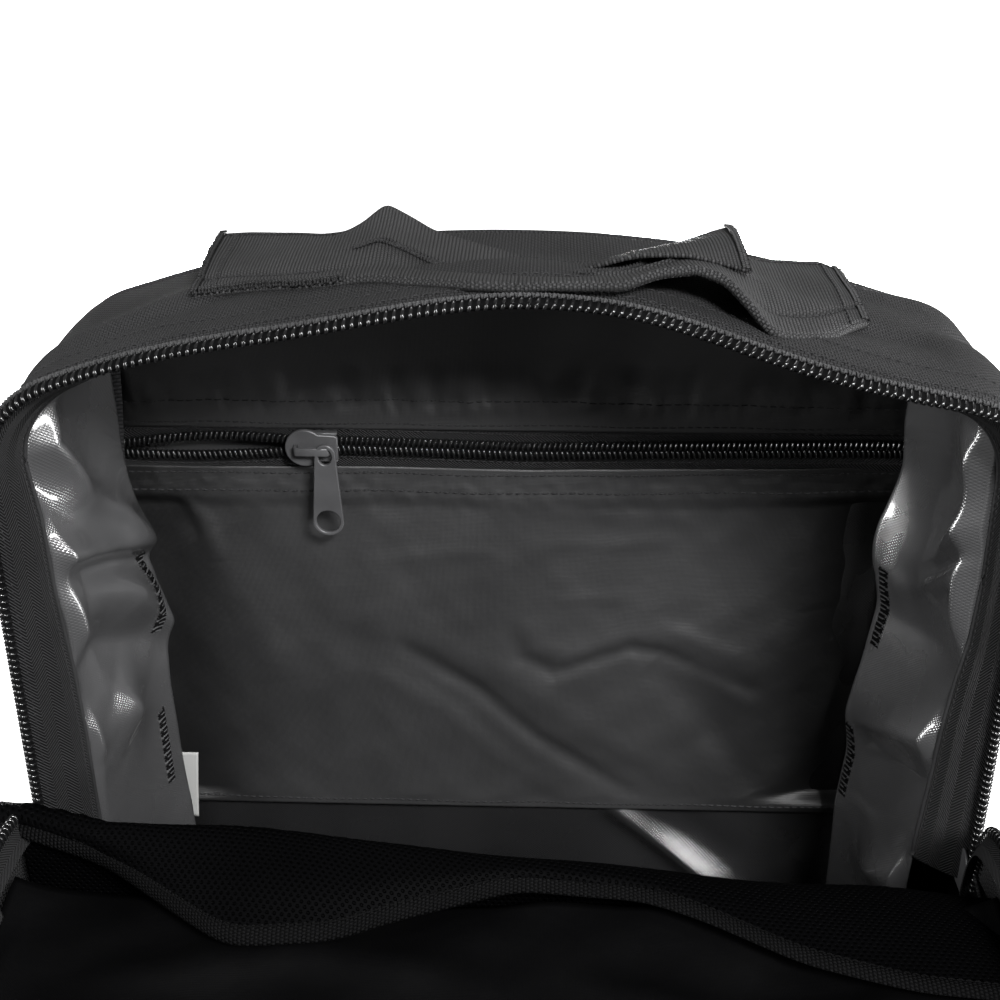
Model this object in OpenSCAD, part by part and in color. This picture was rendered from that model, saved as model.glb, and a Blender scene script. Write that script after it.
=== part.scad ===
// Trauma backpack, opened: a soft-sided pack whose upper front folds forward on a
// fabric hinge, so that the zipped pocket on the back wall and the mesh pocket in
// the front can be reached. +X is the wearer's left, +Y the wearer's back, +Z up.
// The origin is the middle of the underside of the base.

/* [Body] */
// Width over the side panels
pack_w = 305; // [285:1:330]
// Height over the top of the arch
pack_h = 410; // [390:1:440]
// Depth from the lower front panel to the back panel
pack_d = 120; // [112:1:140]
// Thickness of the sewn and lined fabric
cloth = 2.4; // [2:0.1:3]
// Radius of the arched top
arch_r = 390; // [340:10:500]
// Radius of the two upper corners
corner_r = 35; // [28:1:45]

/* [Front opening] */
// Height of the fold that the flap hangs from
fold_z = 225; // [215:1:235]
// Depth of the flap, from its face to the main zipper
flap_d = 30; // [26:1:34]
// How far the flap is folded open at rest, from closed
fold_open = 90; // [0:5:90]

/* [Pockets] */
// Height of the zipper of the pocket on the back wall
inner_zip_z = 335; // [315:1:340]
// Height of the pocket on the back wall, below its zipper
inner_pocket_h = 150; // [120:5:170]
// Depth of the pocket on the lower front
lower_pocket_d = 52; // [40:1:54]
// Depth of the pocket on the flap
upper_pocket_d = 32; // [24:1:34]

/* [Webbing] */
// Width of the narrow webbing
web_w = 25; // [20:1:26]
// Width of the handle's webbing
handle_w = 48; // [38:1:50]

/* [Sliders] */
// Where the slider of the back-wall pocket stands along its zipper
inner_slider_x = -68; // [-120:1:120]
// Length of a pull tab below its pin
tab_len = 32; // [26:1:34]

/* [Hidden] */
$fn = 48;

// Planes of the pack, front to back
front_y = -pack_d / 2;
rim_y = front_y + flap_d;
back_y = pack_d / 2;
foam_t = 7.6;
lining_t = 1.2;
foam_y = back_y - cloth - foam_t;
lining_y = foam_y - lining_t;
half_w = pack_w / 2;

// The flap turns about this line in the fabric of the fold
hinge_y = front_y + cloth / 2;
hinge_z = fold_z;
fold_gap = 1.5;

// A zipper chain: two coils with a gap for the slider's post, sewn to the cloth's edge
coil_gap = 0.6;
coil_w = 2.6;
coil_t = 2.4;
chain_half = coil_gap + coil_w;
slot_half = chain_half;

// Sliders
slider_len = 15;
slider_r = 5.6;
plate_t = 1.4;
plate_gap = 2;
pin_r = 0.85;
eye_bore = 0.93;
eye_r = 2.0;
pin_h = plate_gap + plate_t + 2.6;
tab_t = 1.4;
tab_r = 5.5;
tab_hole_r = 4;

// The back-wall pocket
pocket_t = 3;
pocket_y = lining_y - pocket_t;
inner_half = 141;
tape_w = 12;
tape_t = 0.8;
band_gap = 7;

// Front pockets, as they are with the flap closed
lower_pocket = [260, 14, 205];
lower_zip_z = 180;
lower_zip_half = 104;
upper_pocket = [226, fold_z + 70, fold_z + 162];
upper_zip_z = fold_z + 143;
upper_zip_half = 88;
pocket_corner = 20;

// Webbing and buckles
web_t = 1.6;
side_rows = [282, 224];
strap_z = 166;
buckle_t = 11;
buckle_w = 31;

// Shoulder straps
strap_y = back_y + 8;
strap_t = 12;
strap_top_z = 384;
strap_low_z = 138;
lock_gap = 3.5;

ink = [0.035, 0.035, 0.038];
grey_coat = [0.24, 0.24, 0.25];
metal = [0.30, 0.30, 0.31];
plastic = [0.05, 0.05, 0.055];

// ---------- outline helpers ----------

// Centre height of the corner arcs, and the angle where they meet the arch
corner_z = pack_h - arch_r + sqrt(pow(arch_r - corner_r, 2) - pow(half_w - corner_r, 2));
meet = atan2(half_w - corner_r, corner_z - pack_h + arch_r);

// The front outline of the pack, pulled in by a distance, from a given height up
function outline(pull, low) = let (c = corner_r - pull, a = arch_r - pull) concat(
    [[half_w - pull, low]],
    [for (k = [0 : 6]) let (t = k / 6 * (90 - meet))
        [half_w - corner_r + c * cos(t), corner_z + c * sin(t)]],
    [for (k = [1 : 15]) let (t = meet * (1 - k / 8))
        [a * sin(t), pack_h - arch_r + a * cos(t)]],
    [for (k = [6 : -1 : 0]) let (t = k / 6 * (90 - meet))
        [-half_w + corner_r - c * cos(t), corner_z + c * sin(t)]],
    [[-half_w + pull, low]]
);

// A smooth rise from 0 to 1
function ease(t) = let (u = min(1, max(0, t))) u * u * (3 - 2 * u);

// A profile drawn in X and Z, from y0 back to y1
module across(y0, y1) {
    translate([0, y1, 0]) rotate([90, 0, 0]) linear_extrude(y1 - y0) children();
}

// A profile drawn in Y and Z, from x0 to x1
module along(x0, x1) {
    translate([x0, 0, 0]) rotate([90, 0, 90]) linear_extrude(x1 - x0) children();
}

module box(low, high) {
    translate(low) cube(high - low);
}

module rounded(w, z0, z1, r) {
    steps = 5;
    function turn(cx, cz, from) = [for (k = [0 : steps])
        [cx + r * cos(from + 90 * k / steps), cz + r * sin(from + 90 * k / steps)]];
    polygon(concat(turn(w / 2 - r, z1 - r, 0), turn(-w / 2 + r, z1 - r, 90),
        turn(-w / 2 + r, z0 + r, 180), turn(w / 2 - r, z0 + r, 270)));
}

module both_sides() {
    children();
    mirror([1, 0, 0]) children();
}

// Moves what is drawn for the closed flap to where the open flap lies
module on_flap() {
    translate([0, hinge_y, hinge_z]) rotate([fold_open, 0, 0])
        translate([0, -hinge_y, -hinge_z]) children();
}

// ---------- pack body ----------

module back_panel() color(ink) across(back_y - cloth, back_y) polygon(outline(0, 0));

module back_foam_sheet() color("dimgray")
    across(foam_y, back_y - cloth) polygon(outline(cloth, cloth));

module back_lining() color(grey_coat)
    across(lining_y, foam_y) polygon(outline(cloth, cloth));

module side_panel() color(grey_coat) along(half_w - cloth, half_w) {
    edge = rim_y + chain_half;
    polygon([[front_y + cloth, cloth], [back_y - cloth, cloth], [back_y - cloth, corner_z],
        [edge, corner_z], [edge, fold_z - fold_gap], [front_y + cloth, fold_z - fold_gap]]);
}

module side_panel_left() side_panel();
module side_panel_right() mirror([1, 0, 0]) side_panel();

// The part of the outline's wall that arches over the top
module arch_ring(outer, inner) difference() {
    polygon(outline(outer, corner_z));
    polygon(outline(inner, corner_z - 1));
}

module top_panel() color(ink) across(rim_y + chain_half, back_y - cloth) arch_ring(0, cloth);

module base_panel() color(ink) box([-half_w, front_y, 0], [half_w, back_y - cloth, cloth]);

module lower_front_panel() color(ink)
    box([-half_w, front_y, cloth], [half_w, front_y + cloth, fold_z - fold_gap]);

// One half of the main zipper: up one side, over the arch and down the other
module main_coil(y0, y1, low) {
    across(y0, y1) difference() {
        polygon(outline(0, low));
        polygon(outline(cloth, low - 1));
    }
}

module main_coil_pack() color(plastic)
    main_coil(rim_y + coil_gap, rim_y + chain_half, fold_z + 4);

// ---------- back-wall pocket ----------

// Black nylon that covers the back wall above the pocket's zipper
module pocket_top_band() color(ink) across(pocket_y, lining_y) intersection() {
    polygon(outline(cloth + 1, cloth));
    translate([-half_w, inner_zip_z + band_gap]) square([pack_w, pack_h]);
}

module inner_pocket_panel() color(ink)
    box([-half_w + cloth + 1, pocket_y, inner_zip_z - inner_pocket_h],
        [half_w - cloth - 1, lining_y, inner_zip_z - band_gap]);

module inner_zip_tapes() color(ink) for (side = [0, 1]) translate([0, 0, inner_zip_z])
    mirror([0, 0, side])
        box([-inner_half, pocket_y - tape_t, coil_gap + 0.6], [inner_half, pocket_y, tape_w]);

module inner_zip_coils() color(plastic) for (side = [0, 1]) translate([0, 0, inner_zip_z])
    mirror([0, 0, side])
        box([-inner_half, pocket_y - tape_t - coil_t, coil_gap],
            [inner_half, pocket_y - tape_t, chain_half]);

// Sewn into the lower left corner of the back wall
module care_label() color("white")
    box([-half_w + 24, pocket_y - 1.2, inner_zip_z - inner_pocket_h - 4],
        [-half_w + 38, pocket_y - 0.4, inner_zip_z - inner_pocket_h + 26]);

// Ribbed tape over the seams between the side panels and the back wall
module seam_bindings() color(ink) both_sides()
    box([half_w - cloth - 2, lining_y - 20, 240], [half_w - cloth, lining_y - 4, 350]);

// ---------- webbing on the sides ----------

module side_webbing() color(ink) for (z = side_rows)
    box([half_w, -16, z - web_w / 2], [half_w + web_t, 52, z + web_w / 2]);

module side_webbing_left() side_webbing();
module side_webbing_right() mirror([1, 0, 0]) side_webbing();

// Webbing that runs forward to the buckle's socket, and the anchor of the plug's own webbing
module compression_webbing() color(ink) {
    box([half_w, 6, strap_z - web_w / 2], [half_w + web_t, 46, strap_z + web_w / 2]);
    box([half_w, 0, strap_z - web_w / 2], [half_w + web_t + 2.4, 6, strap_z + web_w / 2]);
    box([half_w, front_y + 2, strap_z - web_w / 2],
        [half_w + web_t, front_y + 10, strap_z + web_w / 2]);
}

module compression_webbing_left() compression_webbing();
module compression_webbing_right() mirror([1, 0, 0]) compression_webbing();

// The socket half of a side-release buckle: a flat sleeve with open side windows
module buckle_socket() color(plastic) {
    x0 = half_w + web_t + 2.4;
    difference() {
        box([x0, -24, strap_z - buckle_w / 2], [x0 + buckle_t, 4, strap_z + buckle_w / 2]);
        box([x0 + 2, -25, strap_z - 12], [x0 + buckle_t - 2, -2, strap_z + 12]);
        for (s = [-1, 1]) translate([x0 + buckle_t / 2, -9, strap_z + s * buckle_w / 2])
            rotate([0, 90, 0]) cylinder(r = 5, h = buckle_t + 2, center = true);
    }
}

module buckle_socket_left() buckle_socket();
module buckle_socket_right() mirror([1, 0, 0]) buckle_socket();

// The plug half: a bar for the webbing, a shoulder, a middle guide and two prongs
module buckle_plug() color(plastic) {
    x0 = half_w + web_t + 2.4;
    mid = x0 + buckle_t / 2;
    box([x0 + 1, -29, strap_z - 14], [x0 + buckle_t - 1, -24.6, strap_z + 14]);
    box([mid - 1, -25, strap_z - 2], [mid + 1, -5, strap_z + 2]);
    for (s = [-1, 1]) {
        box([mid - 2, -25, strap_z + s * 8.5 - 1.5], [mid + 2, -4, strap_z + s * 8.5 + 1.5]);
        box([x0 + 1, -42, strap_z + s * 15.2 - 1.2], [x0 + 4, -25, strap_z + s * 15.2 + 1.2]);
    }
    box([x0 + 1, -42, strap_z - 15.5], [x0 + 4, -39, strap_z + 15.5]);
    box([x0 + 1, -35, strap_z - 15.5], [x0 + 4, -32.5, strap_z + 15.5]);
}

module buckle_plug_left() buckle_plug();
module buckle_plug_right() mirror([1, 0, 0]) buckle_plug();

// ---------- handle ----------

anchor_y = 26;
anchor_in = 56;
anchor_out = 106;
grip_y = 8;
grip_half = 16;

module handle_anchors() color(ink) both_sides()
    across(anchor_y - handle_w / 2, anchor_y + handle_w / 2) intersection() {
        arch_ring(-2, 0);
        translate([anchor_in, corner_z]) square([anchor_out - anchor_in, 80]);
    }

// The grip part of the webbing loop, folded to a narrower band and lying slack
module handle_grip() color(ink) across(grip_y - grip_half, grip_y + grip_half) intersection() {
    arch_ring(-14, -9);
    translate([-anchor_in + 4, corner_z]) square([2 * anchor_in - 8, 90]);
}

// ---------- front pockets ----------

// A five-sided pocket, open towards the panel that it's sewn to, with a slot for its zipper
module pocket_shell(size, depth, zip_z, zip_half) {
    face = front_y - depth;
    difference() {
        across(face, front_y) rounded(size[0], size[1], size[2], pocket_corner);
        across(face + cloth, front_y + 1)
            rounded(size[0] - 2 * cloth, size[1] + cloth, size[2] - cloth, pocket_corner - cloth);
        box([-zip_half, face - 1, zip_z - slot_half], [zip_half, face + cloth + 1, zip_z + slot_half]);
    }
}

// The two coils that fill a pocket's slot
module pocket_coils(depth, zip_z, zip_half) for (side = [0, 1])
    translate([0, 0, zip_z]) mirror([0, 0, side])
        box([-zip_half, front_y - depth, coil_gap], [zip_half, front_y - depth + coil_t, chain_half]);

module lower_pocket_shell() color(ink)
    pocket_shell(lower_pocket, lower_pocket_d, lower_zip_z, lower_zip_half);

module lower_pocket_coils() color(plastic)
    pocket_coils(lower_pocket_d, lower_zip_z, lower_zip_half);

module lower_pocket_webbing() color(ink) for (z = [45, 90, 135])
    box([-108, front_y - lower_pocket_d - web_t, z - web_w / 2],
        [108, front_y - lower_pocket_d, z + web_w / 2]);

module upper_pocket_shell() color(ink) on_flap()
    pocket_shell(upper_pocket, upper_pocket_d, upper_zip_z, upper_zip_half);

module upper_pocket_coils() color(plastic) on_flap()
    pocket_coils(upper_pocket_d, upper_zip_z, upper_zip_half);

module id_loop_patch() color("dimgray") on_flap()
    box([-60, front_y - upper_pocket_d - 1.5, fold_z + 84],
        [60, front_y - upper_pocket_d, fold_z + 126]);

// ---------- mesh pocket in the front ----------

mesh_t = 1.6;
mesh_y = front_y + cloth + 7;
mesh_low = 40;
mesh_rise = 34;

module mesh_pocket_panel() color(ink) {
    box([-half_w + cloth, mesh_y, mesh_low],
        [half_w - cloth, mesh_y + mesh_t, fold_z - fold_gap - 12]);
    box([-half_w + cloth, front_y + cloth, mesh_low - 3],
        [half_w - cloth, mesh_y + mesh_t, mesh_low]);
}

// The slack top of the mesh, which goes over the fold with the flap
module mesh_pocket_top() color(ink) on_flap()
    box([-half_w + cloth + 0.5, mesh_y, fold_z + 13],
        [half_w - cloth - 0.5, mesh_y + mesh_t, fold_z + mesh_rise]);

module elastic_binding() color(ink) on_flap()
    box([-half_w + cloth + 0.5, mesh_y - 1, fold_z + mesh_rise],
        [half_w - cloth - 0.5, mesh_y + mesh_t + 1, fold_z + mesh_rise + 9]);

// ---------- flap ----------

flap_low = fold_z + fold_gap;

module flap_panel() color(ink) on_flap() across(front_y, front_y + cloth)
    polygon(outline(0, flap_low));

module flap_lining() color(ink) on_flap() across(front_y + cloth, front_y + cloth + 1)
    polygon(outline(cloth, flap_low + 1));

module flap_gusset() color(ink) on_flap() along(half_w - cloth, half_w)
    polygon([[front_y + cloth, flap_low], [rim_y - chain_half, flap_low],
        [rim_y - chain_half, corner_z], [front_y + cloth, corner_z]]);

module flap_gusset_left() flap_gusset();
module flap_gusset_right() mirror([1, 0, 0]) flap_gusset();

module flap_gusset_top() color(ink) on_flap()
    across(front_y + cloth, rim_y - chain_half) arch_ring(0, cloth);

module main_coil_flap() color(plastic) on_flap()
    main_coil(rim_y - chain_half, rim_y - coil_gap, fold_z + 22);

// ---------- sliders and pull tabs ----------

// A slider in its own frame: the chain runs along X, +Z faces out, and the post end is at -X.
// The pin lies along the chain, or across it when turned.
module slider_plate(t) linear_extrude(t) union() {
    translate([-slider_len / 2 + slider_r, 0]) circle(r = slider_r);
    translate([-slider_len / 2 + slider_r, -4.5]) square([slider_len - slider_r, 9]);
}

module slider(turned) color(metal) {
    translate([0, 0, plate_gap]) slider_plate(plate_t);
    translate([0, 0, -plate_gap - plate_t + 0.4]) slider_plate(plate_t - 0.4);
    box([-slider_len / 2 + 0.6, -0.35, -plate_gap - 0.2],
        [-slider_len / 2 + 3.6, 0.35, plate_gap + 0.2]);
    rotate([0, 0, turned ? 90 : 0]) {
        for (s = [-1, 1]) translate([s * 3.9 - 0.7, -1.1, plate_gap + plate_t - 0.2])
            cube([1.4, 2.2, pin_h - plate_gap - plate_t + 1.3]);
        translate([-3.6, 0, pin_h]) rotate([0, 90, 0]) cylinder(r = pin_r, h = 7.2);
    }
}

// A pull tab in its own frame: the pin lies along X through the origin, the tab hangs down
// -Z, and +Y is the side that faces the cloth
module pull_tab() color(metal) difference() {
    union() {
        translate([-1.9, 0, 0]) rotate([0, 90, 0]) cylinder(r = eye_r, h = 3.8);
        across(-tab_t / 2, tab_t / 2) union() {
            polygon([[-1.9, -0.4], [1.9, -0.4], [3.6, -4], [tab_r, -tab_len + tab_r],
                [-tab_r, -tab_len + tab_r], [-3.6, -4]]);
            translate([0, -tab_len + tab_r]) circle(r = tab_r);
        }
    }
    translate([-3, 0, 0]) rotate([0, 90, 0]) cylinder(r = eye_bore, h = 6);
    translate([0, 1, -tab_len + tab_r]) rotate([90, 0, 0]) cylinder(r = tab_hole_r, h = 2);
}

// Frames: a chain along X that faces -Y, and a chain along Z that faces +X
module on_front_chain(x, y, z) translate([x, y, z]) rotate([90, 0, 0]) children();
module on_side_chain(x, y, z) translate([x, y, z]) rotate([0, 90, 0]) children();

inner_chain_y = pocket_y - tape_t - coil_t / 2 + 0.4;
main_slider_z = fold_z - 3;
main_pin_x = half_w - cloth / 2 + pin_h;

module inner_slider() on_front_chain(inner_slider_x, inner_chain_y, inner_zip_z) slider(false);

module inner_pull() translate([inner_slider_x, inner_chain_y - pin_h, inner_zip_z]) pull_tab();

module main_slider() on_side_chain(half_w - cloth / 2, rim_y, main_slider_z) slider(true);

module main_pull() translate([main_pin_x, rim_y, main_slider_z]) rotate([0, 0, 90]) pull_tab();

module main_slider_left() main_slider();
module main_slider_right() mirror([1, 0, 0]) main_slider();
module main_pull_left() main_pull();
module main_pull_right() mirror([1, 0, 0]) main_pull();

pocket_slider_x = 96;
lower_chain_y = front_y - lower_pocket_d + coil_t / 2;
upper_chain_y = front_y - upper_pocket_d + coil_t / 2;
upper_slider_x = 80;

module lower_pocket_slider()
    on_front_chain(-pocket_slider_x, lower_chain_y, lower_zip_z) slider(false);

module lower_pocket_pull()
    translate([-pocket_slider_x, lower_chain_y - pin_h, lower_zip_z]) pull_tab();

module upper_pocket_slider() on_flap()
    on_front_chain(-upper_slider_x, upper_chain_y, upper_zip_z) slider(false);

// With the flap open the tab hangs straight down from its pin
module upper_pocket_pull() on_flap()
    translate([-upper_slider_x, upper_chain_y - pin_h, upper_zip_z])
        rotate([-fold_open, 0, 0]) pull_tab();

// ---------- shoulder straps ----------

// Middle of the strap at a height: it leaves the yoke near the spine and swings out
function strap_x(z) = 44 + 44 * ease((strap_top_z - z) / (strap_top_z - strap_low_z - 30));
function strap_half(z) = 31 - 6 * ease((strap_top_z - z) / (strap_top_z - strap_low_z));

module shoulder_strap() color(ink) across(strap_y, strap_y + strap_t) {
    levels = [for (k = [0 : 14]) strap_top_z + (strap_low_z - strap_top_z) * k / 14];
    polygon(concat([for (z = levels) [strap_x(z) + strap_half(z), z]],
        [for (k = [14 : -1 : 0]) [strap_x(levels[k]) - strap_half(levels[k]), levels[k]]]));
}

module shoulder_strap_left() shoulder_strap();
module shoulder_strap_right() mirror([1, 0, 0]) shoulder_strap();

// A frame with a middle bar, hung below the strap's end
module ladder_lock() color(plastic) translate([strap_x(strap_low_z), strap_y, strap_low_z - lock_gap])
    difference() {
        box([-16, 3, -26], [16, 8, 0]);
        box([-13, 2, -12], [13, 9, -4]);
        box([-13, 2, -23], [13, 9, -15]);
    }

module ladder_lock_left() ladder_lock();
module ladder_lock_right() mirror([1, 0, 0]) ladder_lock();

module shoulder_yoke() color(ink) across(back_y, back_y + 7)
    rounded(2 * (strap_x(strap_top_z) + 36), 350, 388, 10);

// Triangular tabs at the lower corners, with the first stretch of the lower webbing
module strap_tabs() color(ink) both_sides() {
    across(back_y, back_y + 3) polygon([[148, 16], [148, 58], [98, 50], [92, 40]]);
    box([strap_x(strap_low_z) - web_w / 2, back_y + 3, 34],
        [strap_x(strap_low_z) + web_w / 2, back_y + 3 + web_t, 72]);
}

module back_pads() color("dimgray") both_sides() for (z = [74, 212])
    across(back_y, back_y + 6) translate([69, 0]) rounded(112, z, z + 130, 14);

// ---------- assembly ----------

back_panel();
back_foam_sheet();
back_lining();
side_panel_left();
side_panel_right();
top_panel();
base_panel();
lower_front_panel();
main_coil_pack();
pocket_top_band();
inner_pocket_panel();
inner_zip_tapes();
inner_zip_coils();
care_label();
seam_bindings();
side_webbing_left();
side_webbing_right();
handle_anchors();
lower_pocket_shell();
lower_pocket_coils();
lower_pocket_webbing();
compression_webbing_left();
compression_webbing_right();
buckle_socket_left();
buckle_socket_right();
shoulder_yoke();
back_pads();
strap_tabs();
mesh_pocket_panel();
flap_panel();
flap_lining();
flap_gusset_left();
flap_gusset_right();
flap_gusset_top();
main_coil_flap();
mesh_pocket_top();
elastic_binding();
upper_pocket_shell();
upper_pocket_coils();
id_loop_patch();
handle_grip();
main_slider_left();
main_pull_left();
main_slider_right();
main_pull_right();
inner_slider();
inner_pull();
lower_pocket_slider();
lower_pocket_pull();
upper_pocket_slider();
upper_pocket_pull();
buckle_plug_left();
buckle_plug_right();
shoulder_strap_left();
shoulder_strap_right();
ladder_lock_left();
ladder_lock_right();
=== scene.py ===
import math

import bpy
import numpy as np
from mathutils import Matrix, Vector


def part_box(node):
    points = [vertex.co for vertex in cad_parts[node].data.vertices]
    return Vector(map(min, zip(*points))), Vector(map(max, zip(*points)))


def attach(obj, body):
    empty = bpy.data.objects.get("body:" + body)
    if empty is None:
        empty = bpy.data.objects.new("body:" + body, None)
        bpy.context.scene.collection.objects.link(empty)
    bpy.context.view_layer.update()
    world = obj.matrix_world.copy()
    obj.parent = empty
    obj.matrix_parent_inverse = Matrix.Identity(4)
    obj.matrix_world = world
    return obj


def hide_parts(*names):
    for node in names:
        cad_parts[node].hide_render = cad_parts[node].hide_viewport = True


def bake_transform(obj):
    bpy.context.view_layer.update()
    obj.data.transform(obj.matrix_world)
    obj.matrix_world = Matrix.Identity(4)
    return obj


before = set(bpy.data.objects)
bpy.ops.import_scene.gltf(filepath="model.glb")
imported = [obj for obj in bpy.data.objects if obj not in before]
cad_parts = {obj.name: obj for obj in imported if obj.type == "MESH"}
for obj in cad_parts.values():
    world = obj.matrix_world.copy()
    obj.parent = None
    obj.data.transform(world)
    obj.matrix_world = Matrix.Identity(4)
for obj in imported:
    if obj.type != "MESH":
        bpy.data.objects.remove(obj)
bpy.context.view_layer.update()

# Lengths are millimetres until a mesh is made, in the CAD frame:
# +X the wearer's left, +Y the wearer's back, +Z up, origin under the base.
MM = 0.001
PI = math.pi

# ---------- driving sizes ----------

def middle(node):
    """The middle of a CAD node's box."""
    return [(low + high) / 2 / MM for low, high in zip(*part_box(node))]


HALF_W, BACK_Y, HEIGHT = (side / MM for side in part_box("back_panel")[1])
FRONT_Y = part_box("lower_front_panel")[0].y / MM
FOLD_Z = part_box("lower_front_panel")[1].z / MM + 1.5
RIM_Y = FRONT_Y + 30
WALL_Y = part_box("inner_pocket_panel")[0].y / MM
ZIP_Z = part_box("inner_zip_tapes")[0].z / MM + 12
SLIDER_X = middle("inner_slider")[0]
HINGE = (0.0, FRONT_Y + 1.2, FOLD_Z)
ARCH_R = 390.0
CORNER_R = 35.0
ARCH_Z = HEIGHT - ARCH_R
CORNER_X = HALF_W - CORNER_R
CORNER_Z = ARCH_Z + math.sqrt((ARCH_R - CORNER_R) ** 2 - CORNER_X ** 2)
MEET = math.atan2(CORNER_X, CORNER_Z - ARCH_Z)
ARCH_LEN = ARCH_R * MEET
CORNER_LEN = CORNER_R * (PI / 2 - MEET)
TOP_LEN = ARCH_LEN + CORNER_LEN
# zipper coils: width, height, wire
MAIN_PITCH = 2.3
MAIN_COIL = (5.4, 3.3, 1.25)
INNER_PITCH = 1.77
INNER_COIL = (3.8, 2.4, 0.95)
OUTER_COIL = (3.8, 2.3, 0.8)
WEB = 25.0
SIDE_STRAP_Z = 166.0


# ---------- small maths ----------

def smooth(t):
    t = np.clip(t, 0, 1)
    return t * t * (3 - 2 * t)


def ramp(x, low, high):
    return smooth((np.asarray(x, float) - low) / (high - low))


def bump(x, middle, half):
    """1 at the middle, falling smoothly to 0 at half away."""
    return 1 - ramp(np.abs(np.asarray(x, float) - middle), 0, half)


def ripples(u, v, size, seed, count=7):
    """Soft unevenness of about 1 either way, with waves near the given size."""
    rng = np.random.default_rng(seed)
    out = np.zeros(np.broadcast(u, v).shape)
    for _ in range(count):
        angle, phase = rng.uniform(0, 2 * PI, 2)
        length = size * rng.uniform(0.7, 1.6)
        wave = (u * math.cos(angle) + v * math.sin(angle)) * 2 * PI / length
        out += np.sin(wave + phase + 0.8 * np.sin(wave * 0.37 + 2 * phase))
    return out / count ** 0.5 / 1.2


def stroke(u, v, path, width, height):
    """A fold that runs along a path of points and tapers at both ends."""
    best = np.full(np.broadcast(u, v).shape, 1e9)
    fade = np.zeros_like(best)
    points = np.array(path, float)
    steps = np.linalg.norm(np.diff(points, axis=0), axis=1)
    run, total = 0.0, steps.sum()
    for a, b, step in zip(points[:-1], points[1:], steps):
        t = np.clip(((u - a[0]) * (b[0] - a[0]) + (v - a[1]) * (b[1] - a[1])) / step ** 2, 0, 1)
        d = np.hypot(u - a[0] - t * (b[0] - a[0]), v - a[1] - t * (b[1] - a[1]))
        share = (run + t * step) / total
        near = d < best
        fade = np.where(near, np.sqrt(np.clip(4 * share * (1 - share), 0, 1)), fade)
        best = np.minimum(best, d)
        run += step
    return height * np.exp(-(best / width) ** 2) * (0.25 + 0.75 * fade)


def crease(u, v, path, width, height):
    """A fold of taut cloth: straight flanks that meet in a narrow crest, and fade at both ends."""
    path = np.asarray(path, float)
    total = np.linalg.norm(np.diff(path, axis=0), axis=1).sum()
    nearest = np.full(np.shape(u), 1e9)
    along = np.zeros(np.shape(u))
    start = 0.0
    for a, b in zip(path[:-1], path[1:]):
        span = b - a
        size = np.hypot(*span)
        t = np.clip(((u - a[0]) * span[0] + (v - a[1]) * span[1]) / size ** 2, 0, 1)
        far = np.hypot(u - a[0] - span[0] * t, v - a[1] - span[1] * t)
        along = np.where(far < nearest, (start + t * size) / total, along)
        nearest = np.minimum(nearest, far)
        start += size
    crest = np.sqrt(nearest ** 2 + 0.8 ** 2) - 0.8
    taper = 0.35 + 0.65 * np.sin(PI * along)
    return height * taper * np.exp(-(crest / (width * 1.25)) ** 1.25)


def spread(a, b):
    """Two grids of coordinates: the first changes with the row, the second with the column."""
    return np.meshgrid(a, b, indexing="ij")


def stack(*parts):
    """Coordinates side by side, each of them an array or one number for all."""
    return np.stack(np.broadcast_arrays(*parts), -1)


def sample(at, run, points):
    """Points at given distances, from a row of points and their own distances."""
    return stack(*(np.interp(at, run, points[:, k]) for k in range(3)))


def softened(values, reach):
    """A row of values, evened out over a number of neighbours on either side."""
    kernel = np.hanning(2 * reach + 1)
    return np.convolve(np.pad(values, reach, mode="edge"), kernel / kernel.sum(), "valid")


def unit(v):
    return v / np.maximum(np.linalg.norm(v, axis=-1, keepdims=True), 1e-9)


def normals(points):
    """Normals of a grid of points, by the cross product of its two directions."""
    return unit(np.cross(np.gradient(points, axis=0), np.gradient(points, axis=1)))


def lengths(points, axis):
    """Distance run along a grid's direction, averaged over the other."""
    step = np.linalg.norm(np.diff(points, axis=axis), axis=2).mean(axis=1 - axis)
    return np.concatenate([[0], np.cumsum(step)])


def smooth_path(points, step):
    """Points every step along a Catmull-Rom curve through the given ones."""
    p = np.array(points, float)
    p = np.vstack([2 * p[0] - p[1], p, 2 * p[-1] - p[-2]])
    fine = []
    for i in range(1, len(p) - 2):
        for t in np.linspace(0, 1, 24, endpoint=False):
            a, b, c, d = p[i - 1], p[i], p[i + 1], p[i + 2]
            fine.append(0.5 * (2 * b + (c - a) * t + (2 * a - 5 * b + 4 * c - d) * t ** 2
                               + (3 * b - a - 3 * c + d) * t ** 3))
    return even(np.array(fine + [p[-2]]), step)


def even(points, step):
    """Points every step or so along a row of points."""
    run = np.concatenate([[0], np.cumsum(np.linalg.norm(np.diff(points, axis=0), axis=1))])
    count = max(2, int(round(run[-1] / step)) + 1)
    at = np.linspace(0, run[-1], count)
    return sample(at, run, points)


def even_like(vectors, count):
    """The same direction everywhere, or a row of directions resampled to a count."""
    vectors = np.asarray(vectors, float)
    if vectors.ndim == 1:
        return np.broadcast_to(vectors, (count, 3))
    at = np.linspace(0, len(vectors) - 1, count)
    return sample(at, np.arange(len(vectors)), vectors)


# ---------- the pack's outline ----------

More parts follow.
